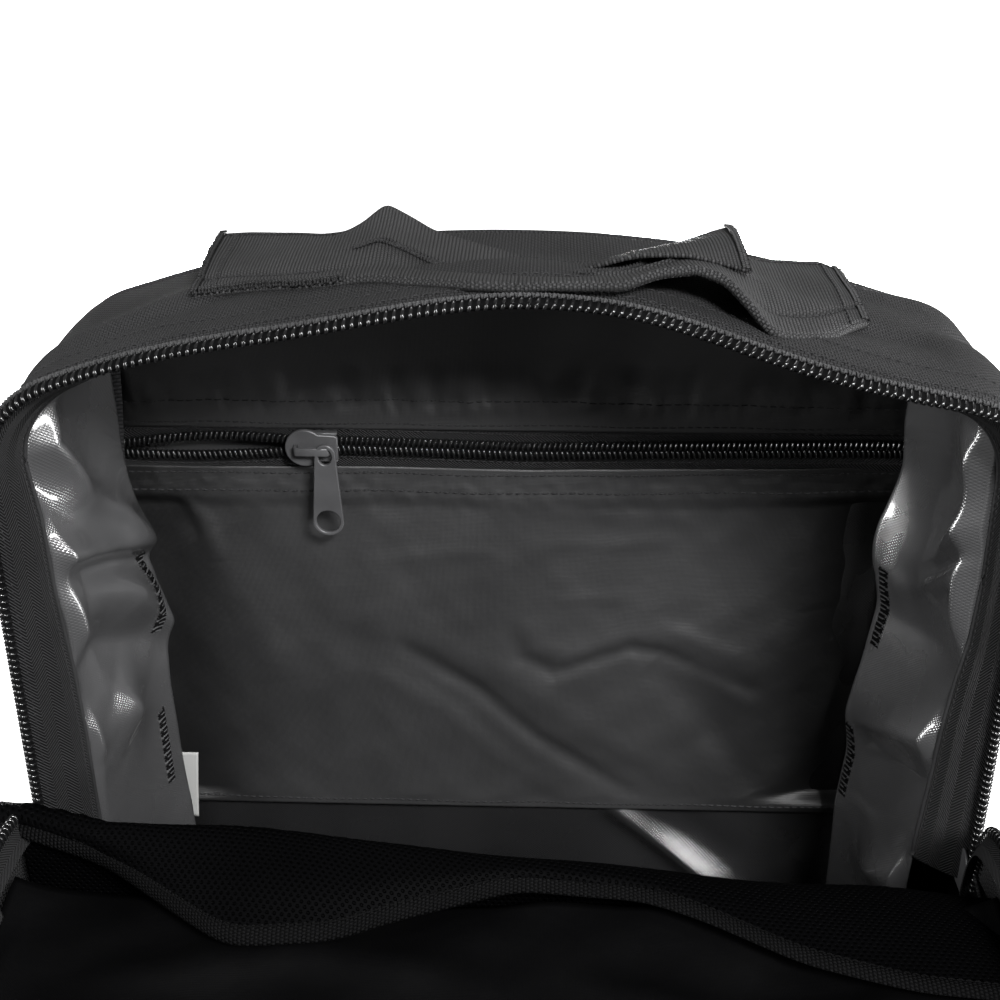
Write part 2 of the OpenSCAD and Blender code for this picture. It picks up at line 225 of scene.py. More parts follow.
def outline(d, pull=0.0):
    """Place and outward direction in X and Z at a distance along the outline from its top."""
    d = np.asarray(d, float)
    a, side = np.abs(d), np.sign(d)
    turn = np.where(a < ARCH_LEN, a / ARCH_R,
                    np.minimum(MEET + (a - ARCH_LEN) / CORNER_R, PI / 2))
    x = np.where(a < ARCH_LEN, (ARCH_R - pull) * np.sin(turn),
                 CORNER_X + (CORNER_R - pull) * np.sin(turn))
    z = np.where(a < ARCH_LEN, ARCH_Z + (ARCH_R - pull) * np.cos(turn),
                 CORNER_Z + (CORNER_R - pull) * np.cos(turn))
    z = np.where(a > TOP_LEN, CORNER_Z - (a - TOP_LEN), z)
    return side * x, z, side * np.sin(turn), np.cos(turn)


def outline_at(z):
    """Distance along the outline, on the left, of a height on the straight side."""
    return TOP_LEN + CORNER_Z - z


def half_width(z, pull=0.0):
    """Half the outline's width at a height."""
    z = np.asarray(z, float)
    corner = CORNER_X + np.sqrt(np.clip((CORNER_R - pull) ** 2 - (z - CORNER_Z) ** 2, 0, None))
    arch = np.sqrt(np.clip((ARCH_R - pull) ** 2 - (z - ARCH_Z) ** 2, 0, None))
    meet_z = CORNER_Z + (CORNER_R - pull) * math.cos(MEET)
    return np.where(z < CORNER_Z, HALF_W - pull, np.where(z < meet_z, corner, arch))


def rim_shift(d):
    """How the slack rim strays from the plain outline: forward or back, and up or down."""
    d = np.asarray(d, float)
    dy = -9 * bump(d, 100, 75) + 2.5 * bump(d, 8, 70) - 2 * bump(d, -60, 60)
    dz = 3.6 * bump(d, 10, 75) - 2.5 * bump(d, 92, 60) + 0.6 * bump(d, -110, 50)
    return dy, dz


# ---------- meshes ----------

def in_scene(obj):
    bpy.context.scene.collection.objects.link(obj)
    return obj


def finish_mesh(mesh, uvs):
    """Weave coordinates for each vertex, in millimetres, and smooth faces."""
    layer = mesh.uv_layers.new(name="weave")
    corner = np.zeros(len(mesh.loops), np.int32)
    mesh.loops.foreach_get("vertex_index", corner)
    layer.data.foreach_set("uv", np.asarray(uvs)[corner].astype(np.float32).ravel())
    mesh.polygons.foreach_set("use_smooth", [True] * len(mesh.polygons))


def new_object(name, verts, faces, uvs, materials, face_mats):
    mesh = bpy.data.meshes.new(name)
    mesh.from_pydata((np.asarray(verts, float) * MM).tolist(), [], faces)
    finish_mesh(mesh, uvs)
    for material in materials:
        mesh.materials.append(material)
    mesh.polygons.foreach_set("material_index", np.asarray(face_mats, np.int32))
    mesh.update()
    return in_scene(bpy.data.objects.new(name, mesh))


def coordinates(mesh):
    out = np.zeros(len(mesh.vertices) * 3)
    mesh.vertices.foreach_get("co", out)
    return out.reshape(-1, 3)


def grid_faces(rows, cols, close_cols=False, flip=False):
    i, j = spread(np.arange(rows - 1), np.arange(cols if close_cols else cols - 1))
    i2, j2 = i + 1, (j + 1) % cols
    quads = stack(i * cols + j, i2 * cols + j, i2 * cols + j2, i * cols + j2).reshape(-1, 4)
    return (quads[:, ::-1] if flip else quads).tolist()


class Build:
    """Collects the parts of one mesh: vertices, faces, weave coordinates, materials."""

    def __init__(self, warp=None):
        self.verts, self.uvs, self.faces, self.mats, self.count = [], [], [], [], 0
        self.warp = warp

    def add(self, verts, faces, uvs, mat=0):
        verts = np.asarray(verts, float).reshape(-1, 3)
        self.verts.append(verts)
        self.uvs.append(np.asarray(uvs, float))
        self.faces += [[k + self.count for k in f] for f in faces]
        self.mats += [mat] * len(faces)
        self.count += len(verts)

    def sheet(self, points, thick, mat=0, uv=None, mat_back=None):
        """A grid of points as a thin closed slab, its thickness going against its normals."""
        rows, cols = points.shape[:2]
        if uv is None:
            uv = stack(*spread(lengths(points, 0), lengths(points, 1)))
        flat_uv = uv.reshape(-1, 2)
        self.add(points, grid_faces(rows, cols), flat_uv, mat)
        if thick <= 0:
            return
        back = points - normals(points) * thick
        first = self.count - rows * cols
        self.add(back, grid_faces(rows, cols, flip=True), flat_uv,
                 mat if mat_back is None else mat_back)
        ring = ([i * cols for i in range(rows)] + [(rows - 1) * cols + j for j in range(1, cols)]
                + [i * cols + cols - 1 for i in range(rows - 2, -1, -1)]
                + [j for j in range(cols - 2, 0, -1)])
        size = rows * cols
        for k, a in enumerate(ring):
            b = ring[(k + 1) % len(ring)]
            self.faces.append([first + b, first + a, first + size + a, first + size + b])
            self.mats.append(mat)

    def tube(self, path, radius, sides=8, mat=0, flat=1.0, up=(0, 0, 1)):
        """A tube along a path, optionally flattened across the given direction."""
        path = np.asarray(path, float)
        tangent = unit(np.gradient(path, axis=0))
        across = unit(np.cross(tangent, np.array(up, float)) + 1e-6)
        over = np.cross(across, tangent)
        angle = np.arange(sides) * 2 * PI / sides
        radius = np.broadcast_to(np.asarray(radius, float), (len(path),))[:, None, None]
        ring = (across[:, None] * np.cos(angle)[None, :, None]
                + over[:, None] * np.sin(angle)[None, :, None] * flat)
        points = path[:, None] + ring * radius
        run = lengths(points, 0)
        uv = stack(*spread(run, angle * float(radius.mean())))
        n = len(path)
        faces = grid_faces(n, sides, close_cols=True, flip=True)
        faces.append(list(range(sides)))
        faces.append([(n - 1) * sides + k for k in range(sides - 1, -1, -1)])
        self.add(points, faces, uv.reshape(-1, 2), mat)

    def make(self, name, materials):
        verts = np.vstack(self.verts)
        verts = self.warp(verts) if self.warp else verts
        return new_object(name, verts, self.faces, np.vstack(self.uvs), materials, self.mats)


def settle(obj, body, nodes=()):
    """Puts a piece on its body and hides the CAD nodes that it stands for."""
    if nodes:
        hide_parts(*nodes)
    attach(obj, body)


def chord_stitches(build, line, out, pitch, mat=1, radius=0.26, share=0.68, step=0.6,
                   ends=-0.25, rise=0.14):
    """Short raised stitches along a line, whose outward direction may change along it."""
    fine = even(np.asarray(line, float), step)
    outs = even_like(out, len(fine))
    run = np.arange(len(fine)) * step
    for k in range(int(run[-1] / pitch)):
        at = np.linspace(k * pitch, k * pitch + pitch * share, 4)
        o = unit(sample(at[1:2], run, outs)[0])
        build.tube(sample(at, run, fine) + np.outer([ends, rise, rise, ends], o), radius, 5, mat, up=o)


def stitches(build, line, out, pitch, share, radius, mat):
    """Stitches along a straight line, which lie a little higher."""
    chord_stitches(build, line, out, pitch, mat, radius, share, 0.5, -0.2, 0.17)


# ---------- materials ----------

class Value:
    """What a material's nodes work out at each point. A formula with it adds maths nodes."""

    def __init__(self, shader, socket):
        self.shader, self.socket = shader, socket

    def math(self, operation, *others):
        return self.shader.math(operation, self, *others)

    def __add__(self, other):
        return self.math("ADD", other)

    def __sub__(self, other):
        return self.math("SUBTRACT", other)

    def __rsub__(self, other):
        return self.shader.math("SUBTRACT", other, self)

    def __mul__(self, other):
        return self.math("MULTIPLY", other)

    def __truediv__(self, other):
        return self.math("DIVIDE", other)

    def threads(self, pitch):
        """Rounded threads side by side: 0 between them, 1 on top."""
        return (self * (PI / pitch)).math("SINE").math("ABSOLUTE")

    def mapped(self, from_low, from_high, to_low, to_high, curve="LINEAR"):
        n = self.shader.node("ShaderNodeMapRange", interpolation_type=curve)
        self.shader.link(self.socket, n.inputs["Value"])
        for socket, value in zip(("From Min", "From Max", "To Min", "To Max"),
                                 (from_low, from_high, to_low, to_high)):
            n.inputs[socket].default_value = value
        return Value(self.shader, n.outputs[0])


class Shader:
    """A material with one Principled shader, and short calls for its nodes."""

    def __init__(self, name, color, roughness, **sockets):
        self.mat = bpy.data.materials.new(name)
        self.mat.use_nodes = True
        self.tree = self.mat.node_tree
        self.bsdf = self.tree.nodes["Principled BSDF"]
        self.color, self.roughness = color, roughness
        self.bsdf.inputs["Base Color"].default_value = (*color, 1)
        self.bsdf.inputs["Roughness"].default_value = roughness
        for socket, value in sockets.items():
            self.bsdf.inputs[socket.replace("_", " ")].default_value = value

    def node(self, kind, **settings):
        n = self.tree.nodes.new(kind)
        for key, value in settings.items():
            setattr(n, key, value)
        return n

    def link(self, source, target):
        self.tree.links.new(source, target)

    def math(self, operation, *values):
        n = self.node("ShaderNodeMath", operation=operation)
        for socket, value in zip(n.inputs, values):
            if isinstance(value, Value):
                self.link(value.socket, socket)
            else:
                socket.default_value = value
        return Value(self, n.outputs[0])

    def weave_socket(self):
        return self.node("ShaderNodeUVMap", uv_map="weave").outputs[0]

    def weave_uv(self):
        split = self.node("ShaderNodeSeparateXYZ")
        self.link(self.weave_socket(), split.inputs[0])
        return Value(self, split.outputs[0]), Value(self, split.outputs[1])

    def noise(self, scale, detail=3.0, low=0.0, high=1.0):
        """Unevenness in the object's own space, between two values."""
        n = self.node("ShaderNodeTexNoise")
        n.inputs["Scale"].default_value = scale
        n.inputs["Detail"].default_value = detail
        self.link(self.node("ShaderNodeTexCoord").outputs["Object"], n.inputs["Vector"])
        return Value(self, n.outputs[0]).mapped(0.3, 0.7, low, high)

    def painted_side_shade(self, start, end, least):
        """Painted shade: darker towards both side seams, standing in for the shadow beside the side
        linings. On the pack's right it starts farther out and is weaker.
        """
        u, _ = self.weave_uv()
        left = u.mapped(start, end, 1.0, least, "SMOOTHSTEP")
        right = (u * -1.0).mapped(start + 30, end + 9, 1.0, least * 2.5, "SMOOTHSTEP")
        return left * right

    def tint(self, factor):
        """Base colour times a factor."""
        n = self.node("ShaderNodeMix", data_type="RGBA", blend_type="MULTIPLY")
        n.inputs[0].default_value = 1
        n.inputs[6].default_value = (*self.color, 1)
        c = self.node("ShaderNodeCombineColor")
        for k in range(3):
            self.link(factor.socket, c.inputs[k])
        self.link(c.outputs[0], n.inputs[7])
        self.link(n.outputs[2], self.bsdf.inputs["Base Color"])

    def rough_between(self, scale, low, high):
        """Uneven roughness, between two shares of the material's own."""
        uneven = self.noise(scale, 4, self.roughness * low, self.roughness * high)
        self.link(uneven.socket, self.bsdf.inputs["Roughness"])

    def relief(self, height, depth_mm):
        n = self.node("ShaderNodeBump")
        n.inputs["Strength"].default_value = 1.0
        n.inputs["Distance"].default_value = depth_mm * MM
        self.link(height.socket, n.inputs["Height"])
        self.link(n.outputs[0], self.bsdf.inputs["Normal"])

    def threaded(self, height, depth, contrast, patches):
        """Threads that are paler on top, on a cloth of patchy tone."""
        self.tint((height * contrast + (1 - contrast / 2)) * patches)
        self.relief(height, depth)
        return self.mat


def woven(name, color, pitch, depth, roughness, contrast, patch, **sockets):
    """Plain weave: warp over weft in a checker, with slow tonal variation."""
    s = Shader(name, color, roughness, **sockets)
    u, v = s.weave_uv()
    check = s.node("ShaderNodeTexChecker")
    check.inputs["Scale"].default_value = 1 / pitch
    s.link(s.weave_socket(), check.inputs["Vector"])
    over = Value(s, check.outputs["Fac"])
    height = u.threads(pitch) * over + v.threads(pitch) * (1 - over)
    return s.threaded(height, depth, contrast, s.noise(25, 4, 1 - patch, 1 + patch))


def ribbed(name, color, rib, thread, depth, roughness, contrast, **sockets):
    """Webbing: ribs across its length, each one a row of threads."""
    s = Shader(name, color, roughness, **sockets)
    u, v = s.weave_uv()
    shift = (u / rib).math("FLOOR").math("MODULO", 2.0) * (thread / 2)
    height = u.threads(rib).math("POWER", 0.6) * ((v + shift).threads(thread) * 0.55 + 0.45)
    return s.threaded(height, depth, contrast, s.noise(40, 3, 0.8, 1.2))


def herringbone(name, color, pitch, stripe, depth, roughness, contrast, **sockets):
    """Zipper tape: diagonal threads whose slant turns over in each stripe."""
    s = Shader(name, color, roughness, **sockets)
    u, v = s.weave_uv()
    height = (u + v.math("PINGPONG", stripe) * 1.3).threads(pitch).math("POWER", 1.7)
    return s.threaded(height, depth, contrast, s.noise(60, 3, 0.85, 1.15))


def moulded(name, color, roughness, grain, depth, **sockets):
    """Moulded or painted surface with fine grain and slight wear."""
    s = Shader(name, color, roughness, **sockets)
    s.tint(s.noise(60, 5, 0.8, 1.25))
    s.rough_between(35, 0.8, 1.25)
    s.relief(s.noise(grain, 3), depth)
    return s.mat


def satin(name, color, roughness, edge=None, **sockets):
    """Thin calendered nylon: a very fine weave, with faint creases. Given edge, painted shade darkens it
    towards the side seams.
    """
    s = Shader(name, color, roughness, **sockets)
    u, v = s.weave_uv()
    height = u.threads(0.42) + v.threads(0.5)
    tone = (height * 0.15 + 0.85) * s.noise(18, 5, 0.82, 1.18)
    # with edge given, the tone is darkened towards the side seams as painted shade
    s.tint(tone * s.painted_side_shade(*edge) if edge else tone)
    s.rough_between(30, 0.85, 1.15)
    s.relief(height * 0.25 + s.noise(140, 3), 0.12)
    return s.mat


def coated(name, color, roughness, edge=None, **sockets):
    """Cloth under a glossy coat: the threads show through in the highlights. Given edge, painted shade
    darkens it towards the side seams.
    """
    s = Shader(name, color, roughness, **sockets)
    u, v = s.weave_uv()
    slant = (u + v).threads(1.1) + (u - v).threads(1.1)
    tone = s.noise(14, 4, 0.85, 1.15)
    # with edge given, the tone is darkened towards the side seams as painted shade
    s.tint(tone * s.painted_side_shade(*edge) if edge else tone)
    s.rough_between(20, 0.75, 1.35)
    s.relief(slant * 0.7 + s.noise(90, 2, 0, 1.2), 0.08)
    return s.mat


def knitted(name, color, pitch, depth):
    """Mesh cloth: rows of small open holes, each row moved half a step."""
    s = Shader(name, color, 0.6, Specular_IOR_Level=0.015)
    u, v = s.weave_uv()
    row = (v / pitch).math("FLOOR").math("MODULO", 2.0)
    x = ((u + row * (pitch * 0.75)) / (pitch * 1.5)).math("FRACT") - 0.5
    y = (v / pitch).math("FRACT") - 0.5
    far = (x * x * 2.0 + y * y).math("SQRT")
    n = s.node("ShaderNodeClamp")
    s.link(far.math("MULTIPLY_ADD", 4.0, -0.7).socket, n.inputs["Value"])
    solid = Value(s, n.outputs[0])
    s.tint(solid * s.noise(30, 3, 0.75, 1.25) + 0.12)
    s.relief(solid, depth)
    return s.mat


CLOTH = {"Specular_IOR_Level": 0.12, "Sheen_Weight": 0.01}
SHELL = woven("shell_cloth", (0.0092, 0.0092, 0.0096), 1.02, 0.6, 0.7, 2.0, 0.25, **CLOTH)
# the pocket cloth's last three numbers paint shade towards the side seams, beside the linings
NYLON = satin("pocket_cloth", (0.019, 0.019, 0.0195), 0.42, (45, 120, 0.1), Specular_IOR_Level=0.34)
DARK_NYLON = satin("flap_cloth", (0.0009, 0.0009, 0.001), 0.5, Specular_IOR_Level=0.06)
# One grey coated lining cloth is made twice. This copy is painted darker: its low tone is partly painted
# shade for the dim lower back wall, and its edge numbers paint shade towards the side seams. The next copy
# is painted lighter: its higher tone is partly painted light on the side linings.
LINING_PAINTED_DARKER = coated("lining_cloth_painted_darker", (0.009, 0.009, 0.0094), 0.24, (80, 122, 0.1), Coat_Weight=0.6,
             Coat_Roughness=0.14, Specular_IOR_Level=0.6)
LINING_PAINTED_LIGHTER = coated("lining_cloth_painted_lighter", (0.036, 0.036, 0.037), 0.24, Coat_Weight=1.0,
                  Coat_Roughness=0.12, Specular_IOR_Level=1.0)
WEBBING = ribbed("webbing_cloth", (0.0148, 0.0148, 0.0152), 1.1, 0.95, 0.55, 0.7, 2.0, **CLOTH)
FINE_RIB = ribbed("ribbed_tape", (0.010, 0.010, 0.0105), 1.4, 3.0, 0.5, 0.7, 1.5, **CLOTH)
ELASTIC = ribbed("elastic_tape", (0.0016, 0.0016, 0.0017), 1.25, 1.1, 0.6, 0.7, 1.8,
                 Specular_IOR_Level=0.03)
TAPE = herringbone("zip_tape_cloth", (0.0115, 0.0115, 0.012), 1.2, 3.6, 0.8, 0.65, 2.0, **CLOTH)
COIL = moulded("zip_coil_nylon", (0.004, 0.004, 0.0042), 0.2, 500, 0.02,
               Specular_IOR_Level=0.5)
CORD = moulded("zip_cord", (0.002, 0.002, 0.0021), 0.85, 900, 0.1, Specular_IOR_Level=0.03)
SEWING = moulded("zip_thread", (0.042, 0.042, 0.043), 0.8, 1500, 0.3, **CLOTH)
THREAD = moulded("thread", (0.012, 0.012, 0.0125), 0.6, 900, 0.1, **CLOTH)
METAL = moulded("slider_enamel", (0.055, 0.055, 0.057), 0.4, 250, 0.03, Metallic=0.3,
                Specular_IOR_Level=0.4)
PLASTIC = moulded("buckle_plastic", (0.010, 0.010, 0.011), 0.36, 200, 0.04,
                  Specular_IOR_Level=0.4)
MESH = knitted("mesh_cloth", (0.0005, 0.0005, 0.0006), 1.45, 0.5)
AIR_MESH = knitted("pad_mesh", (0.014, 0.014, 0.0145), 2.6, 0.8)
LABEL = woven("label_cloth", (0.24, 0.24, 0.235), 0.5, 0.05, 0.55, 0.1, 0.05)
LOOP = moulded("loop_tape", (0.010, 0.010, 0.0105), 0.95, 1200, 0.7, **CLOTH)


# ---------- zipper chains ----------

def coil_half(build, path, head, out, pitch, wide, tall, wire, mat=0):
    """One half of a chain: a wound coil along a path, its heads pointing one way."""
    path = even(np.asarray(path, float), pitch / 12)
    count = len(path)
    run = np.arange(count) * pitch / 12
    tangent = unit(np.gradient(path, axis=0))
    head = even_like(head, count)
    head = unit(head - tangent * (head * tangent).sum(1, keepdims=True))
    over = np.cross(tangent, head)
    over *= np.sign((over * even_like(out, count)).sum(1).mean())
    phase = run / pitch * 2 * PI
    c, s = np.cos(phase), np.sin(phase)
    flatter = np.sign(c) * np.abs(c) ** 0.7
    centre = (path + head * (flatter * (wide - wire) / 2)[:, None]
              + over * (s * (tall - wire) / 2)[:, None])
    build.tube(centre, wire / 2, sides=6, mat=mat, up=(0.3, 0.5, 0.8))


def chain_dressing(build, path, head, out, pitch, wide, tall, mat_cord, mat_thread):
    """The cord inside the coil and the sewing loops that hold it to its tape."""
    path = even(np.asarray(path, float), pitch / 2)
    count = len(path)
    head = even_like(head, count)
    tangent = unit(np.gradient(path, axis=0))
    over = np.cross(tangent, head)
    over *= np.sign((over * even_like(out, count)).sum(1).mean())
    build.tube(path, tall * 0.4, 8, mat_cord, flat=wide / tall, up=head[count // 2])
    band = path - head * wide * 0.36 + over * tall * 0.44
    build.tube(band, tall * 0.17, 7, mat_thread)
    for k in range(1, count - 1):
        p, h, o = path[k], head[k], over[k]
        lean = tangent[k] * pitch * (0.16 if k % 2 else -0.16)
        arc = [p - h * wide * 0.62 + o * tall * 0.05 - lean, p - h * wide * 0.5 + o * tall * 0.45 - lean,
               p - h * wide * 0.3 + o * tall * 0.66, p - h * wide * 0.1 + o * tall * 0.5 + lean]
        build.tube(arc, pitch * 0.13, 5, mat_thread, up=tangent[k])


def main_chain_half(build, path, head, out, mat=0):
    """Half of the main zipper's chain. Its cord and thread are the next two materials."""
    coil_half(build, path, head, out, MAIN_PITCH, *MAIN_COIL, mat=mat)
    chain_dressing(build, path, head, out, MAIN_PITCH, *MAIN_COIL[:2], mat + 1, mat + 2)


def main_path(d0, d1, y, pull, step=1.0):
    """Points along the main opening's edge, strayed as the slack rim is."""
    d = np.arange(d0, d1 + step / 2, step)
    x, z, nx, nz = outline(d, pull)
    dy, dz = rim_shift(d)
    return stack(x, y + dy, z + dz), stack(nx, 0.0, nz), d


# ---------- the pack's outer shell ----------

SIDE_LOW = outline_at(2.0)
STEP = 2.5


def shell_bulge(d, t):
    """How far the stuffed cloth stands out from the flat outline."""
    z_side = CORNER_Z - (np.abs(d) - TOP_LEN)
    side = ramp(np.abs(d), ARCH_LEN - 25, TOP_LEN) * ramp(z_side, 205, 310)
    round_off = np.sin(PI * np.clip(t, 0, 1) ** 0.65) ** 0.7
    crown = (1 - ramp(np.abs(d), 60, ARCH_LEN + 15)) * 1.5
    return (side * np.where(d > 0, 5.5, 1.0) + crown) * round_off


def top_drop(x, y):
    """How far the slack top sinks towards the back."""
    back = np.clip((y - RIM_Y) / (BACK_Y - RIM_Y), 0, 1) ** 2
    deep = 0.8 + 0.6 * bump(x, 5, 75) + 0.8 * ramp(x, 50, 110)
    return deep * back * (1 - ramp(np.abs(x), 118, 146))


def make_shell():
    """Both sides and the top, in one cloth from the back seam to the opening's rim."""
    d = np.arange(-SIDE_LOW, SIDE_LOW + STEP / 2, STEP)
    D, T = spread(d, np.linspace(0, 1, 40))
    x, z, nx, nz = outline(D)
    side_z = np.where(np.abs(D) > TOP_LEN, z, CORNER_Z)
    y0 = FRONT_Y + 1 + (RIM_Y + 2.5 - FRONT_Y - 1) * ramp(side_z, FOLD_Z - 9, FOLD_Z + 4)
    dy, dz = rim_shift(D)
    fade = 1 - smooth(T * 1.6)
    y = y0 + (BACK_Y - 3 - y0) * T + dy * fade
    bulge = shell_bulge(D, T)
    cloth = 0.9 * ripples(D, y, 70, 3) * np.sin(PI * T)
    top = np.abs(D) < TOP_LEN
    folds = np.zeros_like(D)
    for path, width, height in (
            ([(-150, -4), (-118, 8), (-92, 26)], 7, 1.6),
            ([(-128, -12), (-100, 2), (-82, 10)], 5, -1.3),
            ([(-95, -16), (-60, -9), (-20, -14)], 5, -1.0),
            ([(55, -16), (90, -2), (130, 4)], 6, -1.4),
            ([(128, 20), (150, 30), (172, 26)], 6, -2.2),
            ([(105, 40), (128, 46), (150, 50)], 6, 1.5),
            ([(60, 38), (90, 44), (118, 36)], 7, -1.3)):
        folds += stroke(D, y, path, width, height)
    roll = -3.2 * ramp(T, 0.93, 1.0) - 1.2 * (1 - ramp(T, 0, 0.05))
    lift = bulge + cloth + folds * top + roll
    P = stack(x + nx * lift, y, z + dz * fade + nz * lift)
    P[..., 2] -= top_drop(P[..., 0], y)
    b = Build()
    b.sheet(P, 1.0, uv=stack(D, y), mat_back=2)
    # two rows of stitching run behind the rim, over the whole opening
    keep = np.abs(d) < outline_at(FOLD_Z + 6)
    for row in (2, 7):
        out = stack(nx, 0.0, nz)[keep, row]
        chord_stitches(b, P[keep, row] + out * 0.1, out, 3.0)
    settle(b.make("shell_sides_and_top", [SHELL, THREAD, LINING_PAINTED_DARKER]), "pack",
           ["top_panel", "side_panel_left", "side_panel_right"])


def panel_grid(z0, z1, pull, rows, cols, crowd=True):
    """A grid over the front outline between two heights, closer together near the top."""
    t = np.linspace(0, 1, rows)
    z = z0 + (z1 - z0) * (np.sin(t * PI / 2) if crowd else t)
    half = half_width(np.minimum(z, HEIGHT - pull - 0.02), pull)
    Z, S = spread(z, np.linspace(-1, 1, cols))
    return half[:, None] * S, Z, S


# ---------- camera, light, floor ----------

FOCAL = 1.444  # focal length, in widths of the sensor
FLOOR = 30.0


def make_stage():
    camera_data = bpy.data.cameras.new("camera")
    camera_data.sensor_width = 36
    camera_data.lens = 36 * FOCAL
    camera_data.clip_start = 0.02
    camera = in_scene(bpy.data.objects.new("camera", camera_data))
    camera.location = (0.0105, -0.403, 0.537)
    pitch, yaw = math.radians(26.2), -0.032
    look = Vector((math.sin(yaw) * math.cos(pitch), math.cos(yaw) * math.cos(pitch), -math.sin(pitch)))
    camera.rotation_euler = look.to_track_quat("-Z", "Y").to_euler()
    bpy.context.scene.camera = camera

    floor_mesh = bpy.data.meshes.new("floor")
    corners = [(-FLOOR, -FLOOR, 0), (FLOOR, -FLOOR, 0), (FLOOR, FLOOR, 0), (-FLOOR, FLOOR, 0)]
    floor_mesh.from_pydata(corners, [], [(0, 1, 2, 3)])
    floor = in_scene(bpy.data.objects.new("floor", floor_mesh))
    floor.location.z = -0.0004
    pale = Shader("floor_paint", (0.86, 0.86, 0.86), 0.8)
    pale.tint(pale.noise(1.5, 2, 0.99, 1.01))
    pale.bsdf.inputs["Emission Color"].default_value = (1, 1, 1, 1)
    pale.bsdf.inputs["Emission Strength"].default_value = 0.95
    floor_mesh.materials.append(pale.mat)
    floor.visible_diffuse = False
    floor.visible_glossy = False

    world = bpy.data.worlds.new("studio")
    world.use_nodes = True
    world.node_tree.nodes["Background"].inputs[0].default_value = (1, 1, 1, 1)
    world.node_tree.nodes["Background"].inputs[1].default_value = 0.25
    bpy.context.scene.world = world

    def softbox(name, place, target, size, power):
        data = bpy.data.lights.new(name, "AREA")
        data.shape = "RECTANGLE"
        data.size, data.size_y = size
        data.energy = power
        light = in_scene(bpy.data.objects.new(name, data))
        light.location = place
        aim = Vector(target) - Vector(place)
        light.rotation_euler = aim.to_track_quat("-Z", "Y").to_euler()
        light.visible_camera = False

    # name, place, what it points at, size in metres, watts
    softbox("key_box", (0.6, -1.2, 1.37), (0, 0.02, 0.28), (0.45, 0.35), 70)
    softbox("right_box", (1.1, -0.42, 0.46), (-0.13, 0, 0.3), (0.25, 0.6), 15)
    softbox("left_box", (-1.1, -0.42, 0.5), (0.13, 0, 0.25), (0.25, 0.6), 18)
    softbox("glint_box", (0.715, -0.76, 0.94), (0.06, 0.04, 0.16), (0.3, 0.3), 4.5)
    softbox("rear_box", (0.0, 1.3, 1.6), (0, 0, 0.3), (1.2, 0.6), 10)
    softbox("back_box", (-0.1, 1.5, 0.12), (0, 0.08, 0.16), (1.0, 0.22), 50)
    softbox("back_side_box", (1.5, 0.7, 0.16), (0.1, 0.08, 0.16), (0.8, 0.3), 25)
    bpy.context.scene.view_settings.view_transform = "Standard"


# ---------- main opening: chain, tape and side linings ----------

PACK_CHAIN_LOW = outline_at(FOLD_Z - 8)
# by height: how wide the tape shows at each side, and how far out the lining's inner edge is
TAPE_LEFT = ([190, 240, 260, 285, 300, 315, 340, 354, 370],
             [15.0, 14.4, 14.3, 13.5, 12.3, 11.3, 10.7, 9.0, 7.5])
TAPE_RIGHT = ([190, 225, 250, 271, 287, 302, 323, 356, 370],
              [15.4, 15.2, 13.4, 12.2, 10.6, 8.2, 7.2, 8.0, 7.5])
LEFT_IN = ([176, 191, 205, 219, 237, 254, 262, 279, 293, 303, 315, 337, 350],
           [119.8, 120.4, 121.8, 122.7, 123.5, 123.9, 124.9, 126.1, 127.1, 129.1, 130.3, 131.1, 131.2])
RIGHT_IN = ([148, 173, 197, 220, 237, 250, 267, 284, 299, 319, 337, 351],
            [122.0, 121.9, 121.4, 122.7, 122.7, 123.1, 124.4, 126.1, 128.1, 129.8, 130.3, 129.1])


def tape_width(side, z):
    """How far the tape reaches in from the straight side."""
    return np.where(np.asarray(side) > 0, np.interp(z, *TAPE_RIGHT), np.interp(z, *TAPE_LEFT))


def tape_edge(d):
    """Inner edge of the main zipper's tape, where the lining starts."""
    edge, out, _ = main_path(d[0], d[-1], RIM_Y - 1, 1.6, d[1] - d[0])
    z = np.where(np.abs(d) > TOP_LEN, CORNER_Z - (np.abs(d) - TOP_LEN), edge[:, 2])
    side = ramp(np.abs(d), ARCH_LEN - 40, TOP_LEN - 10)
    inset = 2.6 + (tape_width(d, z) - 2.6) * side
    return edge - out * inset[:, None] + (0, 12.0, 0)


def make_main_chain():
    b = Build()
    path, out, d = main_path(-PACK_CHAIN_LOW, PACK_CHAIN_LOW, RIM_Y - 0.8, 1.4)
    main_chain_half(b, path, unit((0, -1, 0) - out * 0.22), out)
    settle(b.make("main_chain_pack", [COIL, CORD, SEWING]), "pack", ["main_coil_pack"])

    t = Build()
    inner = tape_edge(d)
    w = np.linspace(0, 1, 9)[None, :, None]
    start = path + (0, 0.2, 0) - out * 0.9
    grid = start[:, None] * (1 - w) + inner[:, None] * w
    grid = grid - out[:, None] * (np.sin(w * PI) * 0.8)
    run = stack(*spread(d, np.linspace(0, 16, 9)))
    t.sheet(grid[:, ::-1], 0.5, uv=run[:, ::-1])
    rise = -unit(np.cross(np.gradient(grid[:, 4], axis=0), inner - start))
    chord_stitches(t, grid[:, 1] - rise * 0.2, rise, 2.6)
    chord_stitches(t, grid[:, 7] - rise * 0.2, rise, 2.4, radius=0.34)
    t.tube(inner[::2] - rise[::2] * 0.3, 0.75, 7, 1)
    settle(t.make("main_tape_pack", [TAPE, THREAD]), "pack")


LINING_EDGE = 0.9  # share of the lining's width where its inner edge starts to curl
FOLD_DEPTH = 1.7

